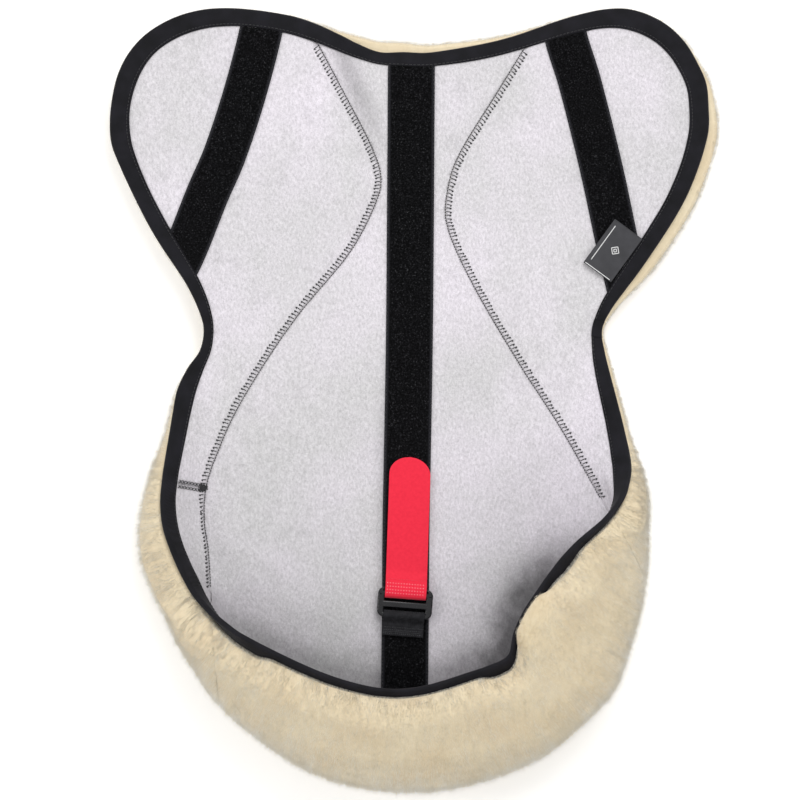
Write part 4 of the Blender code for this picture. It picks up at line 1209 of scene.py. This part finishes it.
def make_label(material, line_material):
    """Tape folded in two, with woven border lines and a small plain diamond."""
    width, reach = LABEL_SIZE
    layer, low = 0.5 * MM, STRIP_TOP + GAP + 0.25 * MM
    bend = (layer + GAP) / 2 + 0.15 * MM
    foot = -1.5 * MM
    knots = [(foot, low), (8 * MM, low), (16 * MM, low), (reach - bend, low)]
    knots += arc(reach - bend, low + bend, bend, -60, 60, 5)
    knots += [(reach - bend, low + 2 * bend), (16 * MM, low + 2 * bend), (8 * MM, low + 2 * bend)]
    knots += [(foot, low + 2 * bend)]
    path, _ = smooth_path(knots, 0.6 * MM)
    x = np.linspace(-0.5, 0.5, 61) * width
    across = np.repeat(x[None, :], len(path), axis=0)
    skew = np.where(np.arange(len(path)) < len(path) // 2, 0.9 * MM, 0)
    across = across + skew[:, None]
    low_grid, high_grid = tape_grids(path, across, layer, np.zeros_like(across))
    for grid in (low_grid, high_grid):
        grid[..., 2] += label_lift(grid[..., 0], grid[..., 1])
    mesh = ribbon_mesh("woven_label", placed(low_grid, LABEL_FRAME), placed(high_grid, LABEL_FRAME))
    piece("woven_label", mesh, material, "pad", "label_tape", "folded_label")
    top = low + 2 * bend + layer / 2 - 0.02 * MM
    fold_line = [(-15.5 * MM, reach - 3.4 * MM), (17.5 * MM, reach - 3.4 * MM)]
    side_line = [(-width / 2 + 1.0 * MM, 0.5 * MM), (-width / 2 + 1.0 * MM, reach - 1.0 * MM)]
    centre_x, centre_y = 1.5 * MM, reach * 0.42
    corners = [(0, 3.6), (3.6, 0), (0, -3.6), (-3.6, 0), (0, 3.6)]
    diamond = [(centre_x + a * MM, centre_y + b * MM) for a, b in corners]
    small = [(centre_x + a * 0.42 * MM, centre_y + b * 0.42 * MM) for a, b in corners]
    lines = [fold_line, side_line] + [pair for ring in (diamond, small) for pair in zip(ring, ring[1:])]
    points, faces, start = [], [], 0
    for a, b in lines:
        a, b = np.array(a), np.array(b)
        along = (b - a) / np.linalg.norm(b - a)
        half = 0.33 * MM * np.array([-along[1], along[0]])
        steps = np.linspace(-0.0002, 1.0002, 24)[:, None]
        for lift in (0.0, 0.12 * MM):
            for sign in (-1, 1):
                flat = a + (b - a) * steps + half * sign
                points.append(np.column_stack([flat, top + lift + label_lift(flat[:, 0], flat[:, 1])]))
        k = np.arange(23)
        r = [start + 24 * j for j in range(4)]
        for p, q in ((0, 1), (1, 3), (3, 2), (2, 0)):
            faces.append(np.stack([r[p] + k, r[q] + k, r[q] + k + 1, r[p] + k + 1], axis=1))
        faces.append(np.array([[r[0], r[1], r[3], r[2]], [r[0] + 23, r[2] + 23, r[3] + 23, r[1] + 23]]))
        start += 96
    mesh = mesh_of("label_lines", placed(np.concatenate(points), LABEL_FRAME), [np.concatenate(faces)])
    outward(mesh)
    piece("label_lines", mesh, line_material, "pad", "label_tape")


# ---- materials

def grey(value):
    return (value, value, value)


class Shader:
    """A node material, with short ways to add its textures."""

    def __init__(self, name, roughness, **sockets):
        self.material = bpy.data.materials.new(name)
        self.material.use_nodes = True
        self.tree = self.material.node_tree
        self.surface = self.tree.nodes["Principled BSDF"]
        self.surface.inputs["Roughness"].default_value = roughness
        for socket, value in sockets.items():
            self.surface.inputs[socket.replace("_", " ")].default_value = value
        self.place = self.node("ShaderNodeTexCoord").outputs["Object"]

    def node(self, kind, **settings):
        made = self.tree.nodes.new(kind)
        for key, value in settings.items():
            setattr(made, key, value)
        return made

    def join(self, source, target):
        self.tree.links.new(source, target)
        return target

    def stretched(self, scale, turn=0.0):
        made = self.node("ShaderNodeMapping")
        made.inputs["Scale"].default_value = scale
        made.inputs["Rotation"].default_value = (0, 0, turn)
        self.join(self.place, made.inputs["Vector"])
        return made.outputs["Vector"]

    def shifted(self, offset):
        made = self.node("ShaderNodeMapping")
        made.inputs["Location"].default_value = offset
        self.join(self.place, made.inputs["Vector"])
        return made.outputs["Vector"]

    def noise(self, size, detail=2.0, vector=None, rough=0.5):
        made = self.node("ShaderNodeTexNoise")
        made.inputs["Scale"].default_value = 1 / size
        made.inputs["Detail"].default_value = detail
        made.inputs["Roughness"].default_value = rough
        self.join(vector or self.place, made.inputs["Vector"])
        return made.outputs["Fac"]

    def waves(self, size, direction, vector=None, distort=0.0):
        made = self.node("ShaderNodeTexWave", bands_direction=direction)
        made.inputs["Scale"].default_value = math.pi / (10 * size)
        made.inputs["Distortion"].default_value = distort
        self.join(vector or self.place, made.inputs["Vector"])
        return made.outputs["Fac"]

    def cells(self, size, vector=None):
        made = self.node("ShaderNodeTexVoronoi")
        made.inputs["Scale"].default_value = 1 / size
        self.join(vector or self.place, made.inputs["Vector"])
        return made.outputs["Distance"]

    def ramp(self, source, *stops):
        made = self.node("ShaderNodeValToRGB")
        steps = made.color_ramp.elements
        while len(steps) < len(stops):
            steps.new(0.5)
        for step, (place, colour) in zip(steps, stops):
            step.position = place
            step.color = (*colour, 1) if len(colour) == 3 else colour
        self.join(source, made.inputs["Fac"])
        return made.outputs["Color"]

    def mix(self, share, a, b, blend="MIX"):
        made = self.node("ShaderNodeMix", data_type="RGBA", blend_type=blend)
        for value, socket in ((share, made.inputs[0]), (a, made.inputs[6]), (b, made.inputs[7])):
            if isinstance(value, bpy.types.NodeSocket):
                self.join(value, socket)
            else:
                socket.default_value = (*value, 1) if isinstance(value, tuple) else value
        return made.outputs[2]

    def toned(self, tone, share, source, *stops):
        """A colour multiplied, to some share, by a ramp."""
        return self.mix(share, tone, self.ramp(source, *stops), "MULTIPLY")

    def sum(self, a, b, share=1.0):
        made = self.node("ShaderNodeMath", operation="MULTIPLY_ADD")
        self.join(b, made.inputs[0])
        made.inputs[1].default_value = share
        self.join(a, made.inputs[2])
        return made.outputs[0]

    def bump(self, height, distance, strength=1.0):
        made = self.node("ShaderNodeBump")
        made.inputs["Distance"].default_value = distance
        made.inputs["Strength"].default_value = strength
        self.join(height, made.inputs["Height"])
        self.join(made.outputs["Normal"], self.surface.inputs["Normal"])

    def colour(self, source):
        self.join(source, self.surface.inputs["Base Color"])
        return self.material

    def roughness(self, source, low, high):
        made = self.node("ShaderNodeMapRange")
        made.inputs["To Min"].default_value = low
        made.inputs["To Max"].default_value = high
        self.join(source, made.inputs["Value"])
        self.join(made.outputs["Result"], self.surface.inputs["Roughness"])


def suede_material():
    """Pale tanned suede: lilac to grey clouds, a short mottled nap, darker marks, and painted shade inside
    the rolled rim, beside the strip and in the fold.
    """
    m = Shader("pale_suede", 0.95, Sheen_Weight=0.15, Sheen_Roughness=0.5, Specular_IOR_Level=0.2)
    tone = m.ramp(m.noise(90 * MM, 3, rough=0.6), (0.30, (0.655, 0.645, 0.655)), (0.70, (0.79, 0.745, 0.805)))
    wide = m.noise(170 * MM, 2, m.shifted((0.07, 0.02, 0)))
    tone = m.toned(tone, 0.8, wide, (0.35, (0.93, 0.935, 0.925)), (0.65, grey(1.0)))
    nap = m.noise(1.9 * MM, 5, m.stretched((1.0, 0.6, 1.0), 0.4), 0.7)
    tone = m.toned(tone, 0.9, nap, (0.30, (0.74, 0.74, 0.735)), (0.66, grey(1.12)))
    fine = m.noise(0.9 * MM, 3, rough=0.7)
    tone = m.toned(tone, 0.6, fine, (0.3, grey(0.74)), (0.7, grey(1.13)))
    marks = m.noise(24 * MM, 6, rough=0.75)
    tone = m.toned(tone, 0.8, marks, (0.54, grey(1.0)), (0.78, (0.80, 0.805, 0.80)))
    # painted shade: the suede's colour is darkened by the pelt's shade attribute, inside the rolled rim,
    # beside the strip and in the fold
    patches = m.node("ShaderNodeAttribute", attribute_name="painted_shade").outputs["Fac"]
    tone = m.mix(patches, tone, m.mix(1.0, tone, grey(0.22), "MULTIPLY"))
    m.bump(m.sum(nap, fine, 0.5), 0.5 * MM, 0.8)
    return m.colour(tone)


def wool_material():
    m = Shader("wool_base", 0.95, Sheen_Weight=0.3, Sheen_Roughness=0.5, Specular_IOR_Level=0.15)
    locks = m.noise(3.5 * MM, 4, rough=0.7)
    tone = m.ramp(m.noise(35 * MM, 3), (0.3, (0.745, 0.62, 0.425)), (0.7, (0.80, 0.695, 0.50)))
    tone = m.toned(tone, 0.6, locks, (0.3, (0.88, 0.87, 0.84)), (0.7, grey(1.05)))
    m.bump(locks, 0.5 * MM, 0.5)
    return m.colour(tone)


def fibre_materials():
    made = []
    for shade, colour in zip(FIBRE_SHADES, ((0.85, 0.765, 0.585), (0.90, 0.83, 0.68), (0.96, 0.92, 0.81))):
        m = Shader(f"wool_fibre_{shade}", 0.75, Sheen_Weight=0.2, Specular_IOR_Level=0.3)
        m.surface.inputs["Base Color"].default_value = (*colour, 1)
        m.bump(m.noise(0.6 * MM, 1), 0.05 * MM, 0.3)
        made.append(m.material)
    return made


def binding_material():
    """Near-black twill tape with a faint blue cast."""
    m = Shader("black_twill", 0.8, Sheen_Weight=0.06, Sheen_Roughness=0.45, Specular_IOR_Level=0.2)
    twill = m.waves(0.55 * MM, "DIAGONAL", m.stretched((1, 1, 1), 0.3), 0.6)
    patches = m.ramp(m.noise(14 * MM, 4), (0.3, (0.0045, 0.0045, 0.0060)), (0.7, (0.0105, 0.010, 0.014)))
    patches = m.toned(patches, 0.5, twill, (0.2, grey(0.6)), (0.8, grey(1.3)))
    m.bump(twill, 0.12 * MM, 0.6)
    return m.colour(patches)


def loop_material():
    """Black loop pile: dense tiny loops with scattered paler ones."""
    m = Shader("loop_pile", 1.0, Sheen_Weight=0.02, Sheen_Roughness=0.6, Specular_IOR_Level=0.05)
    loops = m.cells(0.9 * MM)
    curls = m.noise(1.3 * MM, 3, rough=0.7)
    tone = m.ramp(curls, (0.42, (0.0010, 0.0010, 0.0012)), (0.60, (0.007, 0.007, 0.008)),
                  (0.74, (0.06, 0.06, 0.064)))
    m.bump(m.sum(loops, curls, 1.5), 0.5 * MM, 0.9)
    woven = m.node("ShaderNodeAttribute", attribute_name="selvedge").outputs["Fac"]
    return m.colour(m.mix(woven, tone, (0.020, 0.020, 0.024)))


def webbing_material():
    m = Shader("ribbed_webbing", 0.7, Sheen_Weight=0.04, Specular_IOR_Level=0.25)
    pick = m.waves(0.55 * MM, "Y", None, 0.4)
    tone = m.ramp(m.noise(3 * MM, 3), (0.3, (0.004, 0.004, 0.005)), (0.7, (0.011, 0.011, 0.013)))
    tone = m.toned(tone, 0.6, pick, (0.3, grey(0.5)), (0.85, grey(4.5)))
    m.bump(pick, 0.15 * MM, 0.7)
    return m.colour(tone)


def plastic_material():
    """Moulded nylon: dark, half glossy, with a faint moulding grain."""
    m = Shader("moulded_nylon", 0.3, Specular_IOR_Level=0.32, Coat_Weight=0.2, Coat_Roughness=0.1)
    grain = m.noise(0.8 * MM, 3)
    m.roughness(grain, 0.20, 0.34)
    m.bump(grain, 0.03 * MM, 0.4)
    return m.colour(m.ramp(m.noise(6 * MM, 2), (0.3, (0.007, 0.007, 0.008)), (0.7, (0.012, 0.012, 0.014))))


def red_material():
    """Back of the hook tape: saturated red, closely woven, a little deeper along its ribs."""
    m = Shader("red_weave", 0.75, Sheen_Weight=0.25, Sheen_Tint=(1.0, 0.55, 0.6, 1.0), Specular_IOR_Level=0.3)
    pick = m.waves(0.52 * MM, "X", None, 0.8)
    weft = m.waves(0.65 * MM, "Y", None, 0.8)
    tone = m.ramp(m.noise(2.4 * MM, 4), (0.3, (0.84, 0.014, 0.044)), (0.7, (0.90, 0.020, 0.054)))
    tone = m.toned(tone, 0.4, pick, (0.1, (0.78, 0.7, 0.7)), (0.9, (1.1, 1.3, 1.3)))
    m.bump(m.sum(pick, weft), 0.12 * MM, 0.5)
    return m.colour(tone)


def thread_material(name, dark, light):
    m = Shader(name, 0.55, Sheen_Weight=0.15, Specular_IOR_Level=0.4)
    twist = m.waves(0.35 * MM, "DIAGONAL", None, 0.5)
    m.bump(twist, 0.06 * MM, 0.6)
    return m.colour(m.ramp(twist, (0.2, dark), (0.8, light)))


def label_material():
    m = Shader("satin_label", 0.6, Sheen_Weight=0.06, Specular_IOR_Level=0.5)
    satin = m.waves(0.45 * MM, "DIAGONAL", m.stretched((1, 1, 1), LABEL_TURN), 0.4)
    tone = m.ramp(m.noise(9 * MM, 3), (0.3, (0.021, 0.021, 0.025)), (0.7, (0.034, 0.034, 0.040)))
    tone = m.toned(tone, 0.5, satin, (0.2, grey(0.8)), (0.8, grey(1.25)))
    m.bump(satin, 0.06 * MM, 0.5)
    return m.colour(tone)


# ---- stage

def make_stage():
    """Pale floor, a soft overhead light, a weaker one from the side, and the camera above."""
    floor = link("floor", slab("floor", 12.0, 12.0, 0.02, 0, 0))
    floor.location.z = -0.0102
    m = Shader("pale_floor", 0.9, Specular_IOR_Level=0.1)
    m.colour(m.ramp(m.noise(0.8, 2), (0.3, grey(0.93)), (0.7, grey(0.95))))
    m.surface.inputs["Emission Color"].default_value = (1, 1, 1, 1)
    m.surface.inputs["Emission Strength"].default_value = 0.22
    floor.data.materials.append(m.material)
    world = bpy.data.worlds.new("studio")
    world.use_nodes = True
    world.node_tree.nodes["Background"].inputs["Color"].default_value = (1, 1, 1, 1)
    world.node_tree.nodes["Background"].inputs["Strength"].default_value = WORLD_LIGHT
    bpy.context.scene.world = world
    for name, place, power, size in LIGHTS:
        lamp = bpy.data.lights.new(name, "AREA")
        lamp.energy, lamp.size = power, size
        item = link(name, lamp)
        item.location = place
        item.rotation_euler = (-Vector(place)).to_track_quat("-Z", "Y").to_euler()
    camera = link("camera", bpy.data.cameras.new("camera"))
    camera.location = CAMERA_AT
    camera.data.lens = CAMERA_LENS
    bpy.context.scene.camera = camera
    bpy.context.scene.view_settings.view_transform = "Standard"


# ---- build

black_thread = thread_material("black_thread", (0.006, 0.006, 0.007), (0.030, 0.030, 0.034))
make_stage()
make_skins(suede_material())
make_fleece(wool_material())
make_fibres(fibre_materials())
make_binding(binding_material(), black_thread)
make_seam_stitches(black_thread)
make_strips(loop_material(), black_thread)
make_keeper(webbing_material(), black_thread,
            thread_material("grey_thread", (0.02, 0.02, 0.022), (0.09, 0.09, 0.10)))
make_slide(plastic_material())
make_tab(red_material(), thread_material("red_thread", (0.62, 0.008, 0.03), (0.9, 0.05, 0.10)),
         thread_material("pale_thread", (0.80, 0.20, 0.27), (0.95, 0.42, 0.48)),
         thread_material("hook_nylon", (0.42, 0.006, 0.02), (0.66, 0.02, 0.05)))
make_label(label_material(), thread_material("white_thread", grey(0.62), grey(0.85)))
